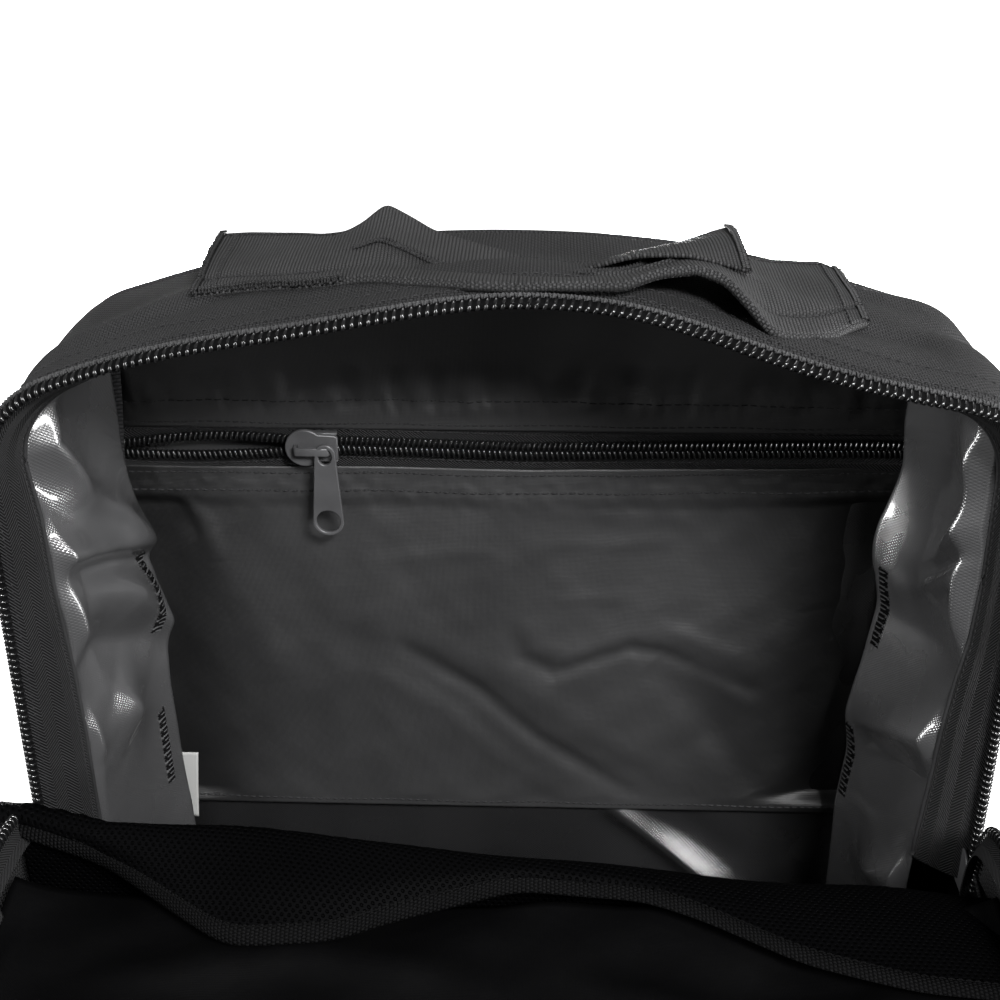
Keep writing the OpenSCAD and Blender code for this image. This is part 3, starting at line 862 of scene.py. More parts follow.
def lining_point(side, z, s):
    """A point of the side lining, from the tape's edge (s = 0) to the back wall (s = 1)."""
    low_in = np.interp(z, *(RIGHT_IN if side > 0 else LEFT_IN))
    x_out = HALF_W - 1.6 - tape_width(side, z)
    x_out = np.minimum(x_out, half_width(z, 5.0))
    x_in = np.minimum(low_in, half_width(z, 4.0) - 2)
    run = np.minimum(s / LINING_EDGE, 1)
    curl = np.clip((s - LINING_EDGE) / (1 - LINING_EDGE), 0, 1)
    y = RIM_Y + 11.2 + (37.0 - RIM_Y - 11.2) * run + 7.5 * curl
    x = x_out + (x_in - x_out) * (0.4 * run + 0.6 * run ** 3) + 7.0 * curl ** 0.7
    return side * x, y


# taut folds: a path of depth and height, its width, and how far it stands out
LEFT_FOLDS = [
    ([(-37, 376), (-32, 345), (-31, 318)], 4.0, 3.2),
    ([(-3, 374), (-9, 360), (0, 346), (3, 338)], 5.0, 5.0),
    ([(-22, 366), (-17, 352), (-10, 340)], 8.0, -4.0),
    ([(3, 339), (20, 324), (39, 302)], 6.0, 4.6),
    ([(-30, 330), (-12, 324), (12, 314), (37, 303)], 5.0, 5.4),
    ([(-12, 318), (12, 309), (36, 297)], 4.0, -4.6),
    ([(-8, 308), (14, 298), (34, 284)], 11.0, 5.0),
    ([(-35, 322), (-27, 306), (-26, 288)], 4.0, 3.6),
    ([(-20, 312), (-17, 298), (-20, 284)], 6.0, 3.6),
    ([(-26, 282), (0, 284), (30, 268)], 9.0, -4.0),
    ([(20, 290), (40, 268), (53, 250), (52, 231)], 6.0, 4.6),
    ([(-26, 266), (-18, 246)], 8.0, 3.0),
    ([(0, 266), (12, 246)], 8.0, 4.4),
]
RIGHT_FOLDS = [
    ([(2, 372), (-18, 360), (-35, 344)], 11.0, 5.4),
    ([(15, 308), (-5, 328), (-22, 346), (-39, 355)], 4.5, 4.6),
    ([(26, 296), (3, 310), (-20, 331), (-44, 342)], 4.5, 5.0),
    ([(20, 300), (0, 318), (-26, 337)], 4.0, -4.6),
    ([(-17, 325), (-17, 312), (-16, 296)], 6.0, 4.0),
    ([(-33, 325), (-33, 308)], 5.0, 3.2),
    ([(46, 332), (40, 315), (36, 294)], 6.0, 4.6),
    ([(32, 238), (4, 254), (-28, 268)], 7.0, 4.6),
    ([(30, 222), (2, 238), (-28, 250)], 8.0, -3.0),
    ([(14, 190), (-6, 200), (-20, 209)], 8.0, 4.0),
    ([(34, 282), (5, 285), (-22, 290)], 12.0, -4.0),
]


def make_side_lining(side, name):
    z, s = np.linspace(5, 379, 200), np.linspace(0, 1, 64)
    Z, S = spread(z, s)
    x, y = lining_point(side, Z, S)
    belly = np.sin(PI * np.clip(S / LINING_EDGE, 0, 1) ** 0.8) * 2.2
    rough = ramp(Z, 215, 250)
    crumple = 0.5 * ripples(y, Z, 38, 11 + side) * rough + 0.5 * ripples(y, Z, 60, 15)
    lift = belly + crumple * np.sin(PI * S) ** 0.5
    for path, width, height in (RIGHT_FOLDS if side > 0 else LEFT_FOLDS):
        edge = 1 - 0.8 * ramp(S, 0.88, 0.97)
        lift = lift + FOLD_DEPTH * crease(y, Z, path, width, height) * edge
    lift *= np.clip(S / 0.06, 0, 1) * 0.97 + 0.03
    n = np.array([-side * 0.975, -0.22, 0.0])
    P = stack(x, y, Z) + lift[..., None] * n
    b = Build()
    b.sheet(P[:, ::side], 0.8, uv=stack(y, Z)[:, ::side])
    for low, at in ((207, 0.775), (271, 0.8)) if side < 0 else ((203, 0.85), (268, 0.83)):
        tack_row(b, P, z, low, low + 31, int(at * (len(s) - 1)), n)
    # the side linings use the lighter-painted copy of the lining cloth, as painted light
    settle(b.make(name, [LINING_PAINTED_LIGHTER, CORD, SEWING]), "pack")


def tack_row(b, P, z, low, high, col, n):
    """A bar tack: thread packed across a narrow upright bar, along one column of the cloth."""
    count = int((high - low) / 0.62)
    for k in range(count):
        zz = low + (high - low) * k / count
        row = int(np.searchsorted(z, zz))
        centre = P[row, col] + (zz - z[row]) * (P[row, col] - P[row - 1, col]) / (z[row] - z[row - 1])
        across = unit(P[row, col + 1] - P[row, col - 1]) * (1.9 if k % 2 else 1.5)
        slant = (0, 0, 0.9 if k % 2 else -0.9)
        points = [centre - across - slant - n * 0.1, centre - across * 0.6 + n * 0.8,
                  centre + across * 0.6 + n * 0.8, centre + across + slant - n * 0.1]
        b.tube(points, 0.3, 5, 1 if k % 3 else 2, up=n)


# ---------- back wall ----------

def wall_sheet(b, x0, x1, z0, z1, y, relief, thick=0.5, mat=0, cols=240, rows=120, clip=None):
    """A panel on the back wall, facing forward, with relief standing off it."""
    X, Z = spread(np.linspace(x0, x1, cols), np.linspace(z0, z1, rows))
    if clip is not None:
        half = half_width(Z, clip)
        X = np.clip(X, -half, half)
    b.sheet(stack(X, y - relief(X, Z), Z), thick, mat=mat, uv=stack(X, Z))


def hem_sheet(b):
    """The pocket's panel, its top edge strayed as its zipper is."""
    X, Z = spread(np.linspace(-140, 140, 300), np.linspace(184, 327.5, 170))
    Z = Z + lay(X) * ramp(Z, 190, 300)
    b.sheet(stack(X, WALL_Y - pocket_relief(X, Z), Z), 0.5, uv=stack(X, Z))


def lay(x):
    """How far the pocket's hem and its zipper stray up or down."""
    return np.interp(x, [-130, -50, 6, 65, 115], [0.3, 1.3, 0.8, 2.0, 2.8])


def zip_lay(x):
    """How far the back-wall zipper strays up or down."""
    return np.interp(x, [-130, -95, -55, -30, 6, 65, 115], [-0.6, 0.6, 1.5, 1.0, 0.1, 1.2, 2.2])


def pocket_relief(X, Z):
    """How far the back-wall pocket's panel stands out: its fullness, folds, and gathered hem."""
    full = 2.2 * np.sin(PI * np.clip((X + 130) / 260, 0, 1)) * bump(Z, 250, 75)
    Z = Z - lay(X)
    lift = full + 0.35 * ripples(X, Z, 60, 23) + 0.2 * ripples(X, Z, 17, 24)
    lift = lift - 5.5 * ramp(X, 84, 124) - 3.5 * ramp(-X, 98, 126)
    for path, width, height in (
            ([(-40, 256), (-12, 238), (10, 216), (46, 190)], 4.0, -1.7),
            ([(-66, 262), (-40, 250), (-14, 226), (8, 200)], 8.0, -1.0),
            ([(-50, 244), (-24, 230), (-4, 208), (22, 188)], 5.0, 0.7),
            ([(52, 250), (70, 232), (84, 206), (92, 190)], 8.0, -1.6),
            ([(-20, 256), (6, 240), (30, 220), (60, 200)], 6.0, 0.9),
            ([(1, 262), (4, 253), (16, 246), (43, 256), (55, 254), (90, 237)], 3.4, -1.1),
            ([(4, 268), (10, 258), (22, 253), (44, 262), (60, 260), (92, 244)], 4.6, 0.7),
            ([(52, 267), (66, 261), (83, 252)], 3.6, 0.7),
            ([(66, 250), (78, 241), (90, 230)], 4.0, 0.7),
            ([(-12, 315), (30, 310), (66, 308)], 3.2, 0.3),
            ([(11, 298), (36, 298), (58, 300)], 3.0, 0.35),
            ([(-48, 291), (-26, 294), (-5, 295)], 3.0, 0.3),
            ([(15, 277), (43, 277)], 3.0, 0.3),
            ([(-110, 300), (-92, 270), (-86, 240)], 9.0, 1.2),
            ([(-118, 322), (-108, 306), (-104, 290)], 4.0, 1.4),
            ([(112, 318), (104, 300), (108, 270)], 7.0, 1.3)):
        lift = lift + 1.05 * stroke(X, Z, path, width, height)
    hem = ramp(Z, 311, 317)
    gather = 0.32 * ripples(X, Z * 0.3, 14, 29) * bump(Z, 313, 9)
    gather = gather + 0.18 * ripples(X, Z, 7, 30) * bump(Z, 321.5, 4)
    gather = gather + 0.12 * ripples(X, Z, 6, 32) * bump(Z, 318, 14)
    lift = lift * (1 - 0.75 * hem) + gather + 1.1 * hem
    return lift * ramp(Z, 184, 189) + 0.3


def band_relief(X, Z):
    """How far the gathered band above the back-wall zipper stands out."""
    gather = 0.75 * ripples(X, Z * 0.35, 13, 31) * bump(Z, 358, 12)
    fine = 0.3 * ripples(X, Z * 0.4, 6, 33) * bump(Z, 352, 6)
    slack = 1.6 * np.sin(PI * np.clip((Z - 352) / 52, 0, 1)) + 0.5 * ripples(X, Z, 50, 35)
    return 1.2 + gather + fine + slack * ramp(Z, 352, 368)


def wall_stitches(b, x0, x1, z, y, relief, pitch=3.1, radius=0.27, sag=0.0, follow=False):
    x = np.arange(x0, x1, 1.5)
    zz = z + sag * np.cos(x / 60) + 0.25 * np.sin(x / 9) + (lay(x) if follow else 0)
    line = stack(x, y - relief(x, zz) - 0.05, zz)
    chord_stitches(b, line, (0, -1, 0), pitch, radius=radius)


def make_back_wall():
    b = Build()
    wall_sheet(b, -HALF_W, HALF_W, 4, 186.5, WALL_Y + 3.0,
               lambda X, Z: 0.7 * ripples(X, Z, 60, 41) + 8 * ramp(184 - Z, 0, 50) * ramp(X, 10, 90)
               + stroke(X, Z, [(38, 184), (66, 162), (94, 141)], 4.2, 4.6)
               + stroke(X, Z, [(60, 184), (90, 160)], 6, -1.2), mat=0, cols=200, rows=140, clip=2)
    # this strip behind the parted zipper uses the lighter-painted lining copy: painted light on cloth that
    # lies in shade
    wall_sheet(b, -HALF_W, HALF_W, 320, HEIGHT - 6, WALL_Y + 3.6,
               lambda X, Z: stroke(X, Z, [(-95, ZIP_Z + 3), (-76, ZIP_Z + 2)], 2.4, 2.0), mat=1,
               cols=240, rows=60, clip=3)
    settle(b.make("back_lining_cloth", [LINING_PAINTED_DARKER, LINING_PAINTED_LIGHTER]), "pack", ["back_lining"])

    b = Build()
    hem_sheet(b)
    for z, pitch in ((325.2, 2.9), (318.4, 3.1), (186.6, 2.9)):
        wall_stitches(b, -138, 138, z, WALL_Y, pocket_relief, pitch, 0.36, follow=z > 300)
    settle(b.make("pocket_panel_cloth", [NYLON, THREAD]), "pack",
           ["inner_pocket_panel"])

    b = Build()
    wall_sheet(b, -HALF_W, HALF_W, 342.5, HEIGHT - 5.5, WALL_Y, band_relief, cols=300, rows=70, clip=3)
    wall_stitches(b, -138, 138, 344.6, WALL_Y, band_relief, 2.9)
    wall_stitches(b, -138, 138, 352.5, WALL_Y, band_relief, 3.2, sag=0.8)
    settle(b.make("pocket_band_cloth", [NYLON, THREAD]), "pack",
           ["pocket_top_band"])

    b = Build()
    for side, top_x, low_x in ((-1, 136.0, 139.2), (1, 140.0, 140.5)):
        Z, W = spread(np.linspace(316, 364, 40), np.linspace(-1, 1, 7))
        centre = low_x + (top_x - low_x) * (Z - 316) / 48
        P = stack(side * (centre + W * 6.2), 41.9 - 1.4 * (1 - W ** 2) + 0.4 * np.sin(Z / 5), Z)
        b.sheet(P[:, ::-side], 1.0, uv=stack(Z, W * 6))
    settle(b.make("seam_binding_cloth", [FINE_RIB]), "pack", ["seam_bindings"])

    b = Build()
    X, Z = spread(np.linspace(-130, -118.4, 12), np.linspace(178, 208.5, 24))
    P = stack(X - 0.2 - (208 - Z) * 0.085, 43.4 - 0.6 * np.sin((Z - 178) / 11), Z)
    b.sheet(P, 0.25, uv=stack(X, Z))
    settle(b.make("plain_label", [LABEL]), "pack", ["care_label"])


# ---------- zipper of the back-wall pocket ----------

def parted(x):
    """Half the gap between the two rows of the back-wall zipper."""
    return 1.9 * np.sin(PI * np.clip((x + 134) / (SLIDER_X + 134 - 3), 0, 1)) ** 0.8 * (x < SLIDER_X)


TAPE_W = 11.5


def zip_height(x, w, up):
    """Height of a tape's line at w from the middle of the back-wall zipper."""
    return ZIP_Z + 0.8 + up * (1.9 + parted(x) * 1.2 * (1 - w / TAPE_W) + w)


def make_inner_zip():
    b = Build()
    x = np.arange(-135, 137, 1.0)
    for up in (1, -1):
        gap = parted(x) * (1.25 if up > 0 else 0.75)
        z = ZIP_Z + 0.8 + up * (1.55 + gap) + zip_lay(x)
        phase = INNER_PITCH / 2 if up > 0 else 0
        path = stack(x + phase, 43.3, z)
        coil_half(b, path, (0, 0, -up), (0, -1, 0), INNER_PITCH, *INNER_COIL)
        b.tube(path[::3] + (0, 0.3, 0), 1.0, 8, 1, flat=1.5, up=(0, 0, 1))
    settle(b.make("inner_chain", [COIL, CORD]), "pack", ["inner_zip_coils"])

    b = Build()
    for up in (1, -1):
        x = np.linspace(-139, 139, 280)
        X, W = spread(x, np.linspace(0, TAPE_W, 12))
        Y = 44.7 + 1.9 * ramp(W, 2, 9) + 0.2 * ripples(X, W, 40, 51 + up)
        P = stack(X, Y, zip_height(X, W, up) + zip_lay(X) * (1 - W / 14))
        b.sheet(P[:, ::up], 0.45, uv=stack(X, W)[:, ::up])
        row = 3.2
        line = stack(x, 44.55 + 1.9 * ramp(row, 2, 9), zip_height(x, row, up) + zip_lay(x))
        chord_stitches(b, line, (0, -1, 0), 2.8)
    settle(b.make("inner_tapes", [TAPE, THREAD]), "pack", ["inner_zip_tapes"])


# ---------- sliders and pull tabs ----------

class Place:
    """A local frame: its origin and three directions."""

    def __init__(self, origin, e1, e2, e3):
        self.origin = np.array(origin, float)
        self.axes = np.array([e1, e2, e3], float)

    def __call__(self, points):
        return self.origin + np.asarray(points, float) @ self.axes


def ring_points(radius, count, centre=(0, 0), stretch=1.0, start=0.0, sweep=2 * PI):
    """A flat ring, or an arc of it with both its ends."""
    a = start + np.arange(count) * sweep / (count - 1 if sweep < 2 * PI else count)
    return stack(centre[0] + radius * np.cos(a), centre[1] + radius * stretch * np.sin(a))


def pressed(b, outlines, thick, bevel, place):
    """A pressed or moulded plate: flat outlines with holes, thickened, its edges rounded."""
    curve = bpy.data.curves.new("outline", "CURVE")
    curve.dimensions, curve.fill_mode = "2D", "BOTH"
    for points in outlines:
        spline = curve.splines.new("POLY")
        spline.points.add(len(points) - 1)
        flat = np.zeros((len(points), 4))
        flat[:, :2], flat[:, 3] = points, 1
        spline.points.foreach_set("co", flat.ravel())
        spline.use_cyclic_u = True
    curve.extrude = thick / 2 - bevel
    curve.bevel_depth, curve.bevel_resolution = bevel, 2
    curve.offset = -bevel
    obj = in_scene(bpy.data.objects.new("outline", curve))
    mesh = bpy.data.meshes.new_from_object(obj.evaluated_get(bpy.context.evaluated_depsgraph_get()))
    verts = coordinates(mesh)
    faces = [list(p.vertices) for p in mesh.polygons]
    bpy.data.objects.remove(obj)
    bpy.data.curves.remove(curve)
    bpy.data.meshes.remove(mesh)
    b.add(place(verts), faces, verts[:, :2])


def make_slider(name, place, node):
    """A coil slider: e1 along its zipper towards the closed end, e2 across, e3 outward."""
    b = Build()
    e1, e2, e3 = place.axes
    nose = ring_points(5.75, 30, (-2.4, 0), 1.0, 0.82, 2 * PI - 1.64)
    shield = np.vstack([nose, [(6.3, -4.0), (7.2, -3.4), (7.2, 3.4), (6.3, 4.0)]])
    for height, thick in ((2.75, 1.3), (-2.6, 1.0)):
        pressed(b, [shield], thick, 0.42, Place(place((0, 0, height)), e1, e2, e3))
    wall = [(-2.0, 0.6), (6.9, 0.6), (6.9, 2.6), (-2.0, 2.6)]
    for side in (-1, 1):
        pressed(b, [wall], 0.9, 0.25, Place(place((0, side * 4.2, 0)), e1, e3, e2 * side))
    post = [(-7.0, -2.4), (-4.6, -2.4), (-4.6, 2.6), (-7.0, 2.6)]
    bridge = [(-5.4, 2.6), (-5.4, 5.6), (-4.6, 6.5), (4.4, 6.5), (5.2, 5.7), (5.2, 2.6),
              (4.1, 2.6), (4.1, 5.4), (-4.3, 5.4), (-4.3, 2.6)]
    for outline_points, thick, bevel in ((post, 0.8, 0.2), (bridge, 2.5, 0.3)):
        pressed(b, [outline_points], thick, bevel, Place(place.origin, e1, e3, -e2))
    settle(b.make(name, [METAL]), node, [node])


def make_pull(name, place, node, length=27.0):
    """A pull tab: e1 along its pin, e2 the way that it hangs, e3 through its thickness."""
    b = Build()
    foot = ring_points(5.4, 26, (0, length - 5.4), 1.0, 0.15, PI - 0.3)
    top = ring_points(3.5, 18, (0, 0), 1.0, PI, PI)
    eye = ring_points(2.35, 22, (0, 0.9), 1.25)
    hole = ring_points(4.15, 30, (0, length - 5.4))
    pressed(b, [np.vstack([foot, top]), eye, hole], 1.6, 0.35, place)
    settle(b.make(name, [METAL]), node, [node])


def make_all_sliders():
    x, y, z = np.eye(3)
    big = 1.17
    make_slider("inner_slider_body", Place((SLIDER_X + 1.2, 43.2, ZIP_Z + 2.6), big * x, big * z, -big * y),
                "inner_slider")
    make_pull("inner_pull_tab", Place((SLIDER_X + 5.6, 36.4, ZIP_Z + 1.9), x, -z, -y), "inner_pull", 30.5)
    at_x, _, at_z = middle("lower_pocket_slider")
    make_slider("lower_slider_body", Place((at_x, -111.4, at_z), x, z, -y), "lower_pocket_slider")
    make_pull("lower_pull_tab", Place((at_x, -116.9, at_z), x, -z, -y), "lower_pocket_pull")
    at_x, at_y, _ = middle("upper_pocket_slider")
    make_slider("upper_slider_body", Place((at_x, at_y, 192.4), x, -y, -z), "upper_pocket_slider")
    make_pull("upper_pull_tab", Place((at_x, at_y, 187), x, -z, y), "upper_pocket_pull")
    for side, name in ((1, "left"), (-1, "right")):
        at_z = FOLD_Z - 3
        make_slider("main_slider_body_" + name, Place((side * 151.3, RIM_Y, at_z), -z, y, side * x),
                    "main_slider_" + name)
        make_pull("main_pull_tab_" + name, Place((side * 157.3, RIM_Y, at_z), y, -z, side * x),
                  "main_pull_" + name)


# ---------- front and back of the pack ----------

def make_outer_panels():
    b = Build()
    X, Z, S = panel_grid(1.5, FOLD_Z - 1, 1.0, 80, 130, crowd=False)
    puff = 1.2 * ripples(X, Z, 90, 61) * (1 - S ** 8)
    P = stack(X, FRONT_Y + 0.5 - puff * 0.6, Z)
    b.sheet(P.swapaxes(0, 1), 1.6, uv=stack(X, Z).swapaxes(0, 1), mat_back=1)
    settle(b.make("lower_front_cloth", [SHELL, LINING_PAINTED_DARKER]), "pack", ["lower_front_panel"])

    b = Build()
    X, Y = spread(np.linspace(-HALF_W, HALF_W, 110), np.linspace(FRONT_Y, BACK_Y, 50))
    edge = np.maximum(np.abs(X) - HALF_W + 6, np.maximum(FRONT_Y + 6 - Y, Y - BACK_Y + 6))
    Z = 6 - np.sqrt(np.clip(36 - np.clip(edge, 0, 6) ** 2, 0, 36)) + 0.15
    Z = Z + 0.5 * (1 + ripples(X, Y, 60, 63)) * (edge < 0)
    b.sheet(stack(X, Y, Z)[:, ::-1], 1.6, uv=stack(X, Y)[:, ::-1], mat_back=1)
    settle(b.make("base_cloth", [SHELL, LINING_PAINTED_DARKER]), "pack", ["base_panel"])

    b = Build()
    T, S = spread(np.linspace(0, 1, 90), np.linspace(-1, 1, 110))
    for y, face, mat in ((BACK_Y - 0.6, 1, 0), (50.2, -1, 1)):
        Z = 1.5 + (HEIGHT - 3.0) * T
        X = half_width(np.minimum(Z, HEIGHT - 1.4), 1.2) * S
        rim = (1 - S ** 12) * (1 - np.abs(2 * T - 1) ** 14)
        Y = y - face * 4.0 * (1 - rim) + (0.5 * ripples(X, Z, 80, 65) * rim if face > 0 else 0)
        P = stack(X, Y, Z - top_drop(X, BACK_Y) * ramp(T, 0.8, 1))
        uv = stack(X, Z)
        b.sheet(P if face > 0 else P.swapaxes(0, 1), 0.0, mat, uv if face > 0 else uv.swapaxes(0, 1))
    obj = b.make("padded_back", [SHELL, LINING_PAINTED_DARKER])
    settle(obj, "pack", ["back_panel", "back_foam_sheet"])

    b = Build()
    x, z, _, _ = outline(np.arange(-SIDE_LOW, SIDE_LOW, 3.0), 3.2)
    b.tube(stack(x, BACK_Y - 1.6, z - top_drop(x, BACK_Y)), 2.8, up=(0, 1, 0))
    for side in (-1, 1):
        z = np.arange(4, FOLD_Z - 6, 3.0)
        b.tube(stack(side * (HALF_W - 1.0), FRONT_Y + 1.4, z), 1.9, up=(0, 1, 0))
    settle(b.make("shell_piping", [FINE_RIB]), "pack")


def side_bulge_x(side, y, z):
    """Outer face of the stuffed side, measured from the middle."""
    d = side * outline_at(np.asarray(z, float))
    y0 = RIM_Y + 2.5
    t = (np.asarray(y, float) - y0) / (BACK_Y - 3 - y0)
    return HALF_W + shell_bulge(d, t)


def strip(b, path, across, width, thick, mat=0):
    """Webbing along a path: across points over its width, and it faces tangent x across."""
    w = np.linspace(-0.5, 0.5, 9) * width
    P = path[:, None] + w[:, None] * np.array(across, float)
    b.sheet(P, thick, mat, stack(*spread(lengths(path[:, None], 0), w)))


def bar_tacks(b, ends, out, shifts, pitch, radius, mat):
    """Dense rows of thread side by side, which hold webbing down."""
    for shift in shifts:
        stitches(b, np.add(ends, shift), out, pitch, 0.9, radius, mat)


def cross_stitch(b, corner, e1, e2, out, width, height):
    """Box stitching with a cross, on webbing."""
    corner, e1, e2 = (np.array(v, float) for v in (corner, e1, e2))
    a, c = corner, corner + e1 * width + e2 * height
    p, q = corner + e1 * width, corner + e2 * height
    for u, v in ((a, p), (p, c), (c, q), (q, a), (a, c), (p, q)):
        stitches(b, [u, v], out, 2.6, 0.72, 0.3, 1)


def make_side_webbing():
    for side, name in ((1, "left"), (-1, "right")):
        b = Build()
        for z0 in (224.0, 282.0):
            y = np.linspace(-16, 52, 46)
            hump = 1.6 * np.abs(np.sin((y + 16) / 68 * PI * 2)) + 0.9
            strip(b, stack(side * (side_bulge_x(side, y, z0) + hump), y, z0), (0, 0, side), WEB, 1.5)
            for yy in (-14.5, 18, 50.5):
                xx = side * (side_bulge_x(side, yy, z0) + 1.55)
                bar_tacks(b, [(xx, yy, z0 - 11), (xx, yy, z0 + 11)], (side, 0, 0),
                          [(0, k, 0) for k in (-0.8, 0, 0.8)], 1.2, 0.32, 1)
        settle(b.make("side_webbing_cloth_" + name, [WEBBING, THREAD]), "pack",
               ["side_webbing_" + name])

        def strap(points, step, width):
            path = smooth_path([(x, y, SIDE_STRAP_Z) for x, y in points], step)
            strip(b, path * (side, 1, 1), (0, 0, side), width, 1.4)

        b = Build()
        strap([(152.8, 46), (153.3, 30), (153.6, 12), (154.8, 5),
               (158.5, 2.6), (159.0, -1), (157.2, 0.8), (154.9, 3)], 1.2, WEB)
        strap([(152.6, -58), (153.4, -51.5)], 1.2, WEB)
        cross_stitch(b, (side * 154.0, 27, SIDE_STRAP_Z - 9), (0, 1, 0), (0, 0, 1), (side, 0, 0), 16, 18)
        settle(b.make("side_strap_" + name, [WEBBING, THREAD]), "pack",
               ["compression_webbing_" + name])

        b = Build()
        strap([(153.4, -53), (155.5, -49), (160, -44), (161.4, -40.5), (163.0, -41.5)], 1.0, WEB - 1)
        obj = b.make("side_strap_end_" + name, [WEBBING])
        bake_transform(obj)


# ---------- pockets on the front ----------

def fold(points):
    """From where a point of the closed flap is, to where the opened flap holds it."""
    p = np.asarray(points, float)
    return stack(p[..., 0], HINGE[1] - (p[..., 2] - HINGE[2]), HINGE[2] + (p[..., 1] - HINGE[1]))


def pocket_profile(depth, z0, z1):
    """Side view of a pocket, from its foot round its face to its top, as y in front of the pack."""
    r = 15.0
    a = np.linspace(0, PI / 2, 10)
    foot = [(0.0, z0)] + [(depth - r + r * math.sin(t), z0 + r - r * math.cos(t)) for t in a]
    crown = [(depth - r + r * math.cos(t), z1 - r + r * math.sin(t)) for t in a] + [(0.0, z1)]
    p = np.array(foot + crown)
    step = np.concatenate([[0], np.cumsum(np.hypot(*np.diff(p, axis=0).T))])
    at = np.linspace(0, step[-1], 110)
    return stack(np.interp(at, step, p[:, 0]), np.interp(at, step, p[:, 1]))


# the webbing on the lower pocket: half its length, and the distance between its bar tacks
ROW_HALF = 108.0
ROW_GAP = 36.0


def make_pocket(name, half, z0, z1, depth, zip_z, zip_half, rows, body, nodes, warp=None, seed=71):
    """A boxed pocket with a zipper across its face, and rows of webbing at the given heights."""
    b = Build(warp)
    r = 13.0
    core = np.linspace(-(half - r), half - r, 90)
    turn = np.linspace(0, PI / 2, 10)[1:]
    x = np.concatenate([-(half - r + r * np.sin(turn[::-1])), core, half - r + r * np.sin(turn)])
    deep = np.concatenate([(depth - r + r * np.cos(turn[::-1])) / depth, np.ones(90),
                           (depth - r + r * np.cos(turn)) / depth])
    x = np.concatenate([[-half], x, [half]])
    deep = np.concatenate([[0.0], deep, [0.0]])
    profile = pocket_profile(depth, z0, z1)
    X = np.broadcast_to(x[:, None], (len(x), len(profile)))
    Y = -profile[None, :, 0] * deep[:, None]
    Z = np.broadcast_to(profile[None, :, 1], X.shape)
    out = (profile[None, :, 0] / depth) ** 3 * deep[:, None]
    Y = FRONT_Y + Y + out * (0.7 + 0.7 * ripples(X, Z, 55, seed))
    run = lengths(stack(X, Y, Z), 1)
    uv = stack(X, run[None, :])
    b.sheet(stack(X, Y, Z), 1.4, uv=uv)
    face = FRONT_Y - depth
    for side in (-1, 1):
        edge = stack(side * (half - 4.2), FRONT_Y - profile[:, 0] * 0.93 - 0.4, profile[:, 1])
        b.tube(edge[6:-6], 1.3, 7, 1, up=(1, 0, 0))
    for dz in (-14.5, 14.5):
        line = stack(np.arange(-zip_half - 6, zip_half + 6, 2.0), face - 0.15, zip_z + dz)
        chord_stitches(b, line, (0, -1, 0), 3.0, mat=2)
    TX, W = spread(np.linspace(-zip_half - 8, zip_half + 8, 160), np.linspace(-12.5, 12.5, 15))
    b.sheet(stack(TX, face - 0.7 + 0.048 * np.abs(W), zip_z + W), 0.5, 3, stack(TX, W))
    for up in (1, -1):
        cx = np.arange(-zip_half, zip_half, 1.0) + (INNER_PITCH / 2 if up > 0 else 0)
        path = stack(cx, face - 1.9, zip_z + up * 1.6)
        coil_half(b, path, (0, 0, -up), (0, -1, 0), INNER_PITCH * 1.2, *OUTER_COIL, mat=4)
        b.tube(path[::6], 0.6, 6, 1)
    for z in rows:
        wx = np.linspace(-ROW_HALF, ROW_HALF, 130)
        hump = 1.3 * np.abs(np.sin((wx + ROW_HALF) / ROW_GAP * PI)) ** 0.6 + 0.4
        strip(b, stack(wx, face - hump, z), (0, 0, 1), WEB, 1.3, mat=5)
        for xx in np.arange(-ROW_HALF, ROW_HALF + 1, ROW_GAP):
            bar_tacks(b, [(xx, face - 1.0, z - 11), (xx, face - 1.0, z + 11)], (0, -1, 0),
                      [(-0.7, 0, 0), (0.7, 0, 0)], 1.3, 0.34, 2)
    settle(b.make(name, [SHELL, FINE_RIB, THREAD, TAPE, COIL, WEBBING]), body, nodes)


def make_front_pockets():
    make_pocket("lower_pocket", 130, 14, 205, 51, 180, 104, (45, 90, 135), "pack",
                ["lower_pocket_shell", "lower_pocket_coils", "lower_pocket_webbing"])
    make_pocket("upper_pocket", 113, 295.5, 386.5, 31, 368, 88, (), "flap",
                ["upper_pocket_shell", "upper_pocket_coils"], warp=fold, seed=73)
    b = Build(fold)
    wall_sheet(b, -60, 60, 309, 351, FRONT_Y - 31.4,
               lambda X, Z: 0.5 + 0.3 * ripples(X, Z, 40, 75) + 0.35 * ripples(X, Z, 3.2, 76, 12),
               1.2, cols=150, rows=60)
    half, low, high = 58.5, 310.5, 349.5
    for (x0, z0), (x1, z1) in (((-half, low), (half, low)), ((-half, high), (half, high)),
                               ((-half, low), (-half, high)), ((half, low), (half, high))):
        edge = [(x0, FRONT_Y - 33, z0), (x1, FRONT_Y - 33, z1)]
        stitches(b, edge, (0, -1, 0), 2.8, 0.7, 0.3, 1)
    settle(b.make("loop_patch", [LOOP, THREAD]), "flap", ["id_loop_patch"])


# ---------- the flap ----------

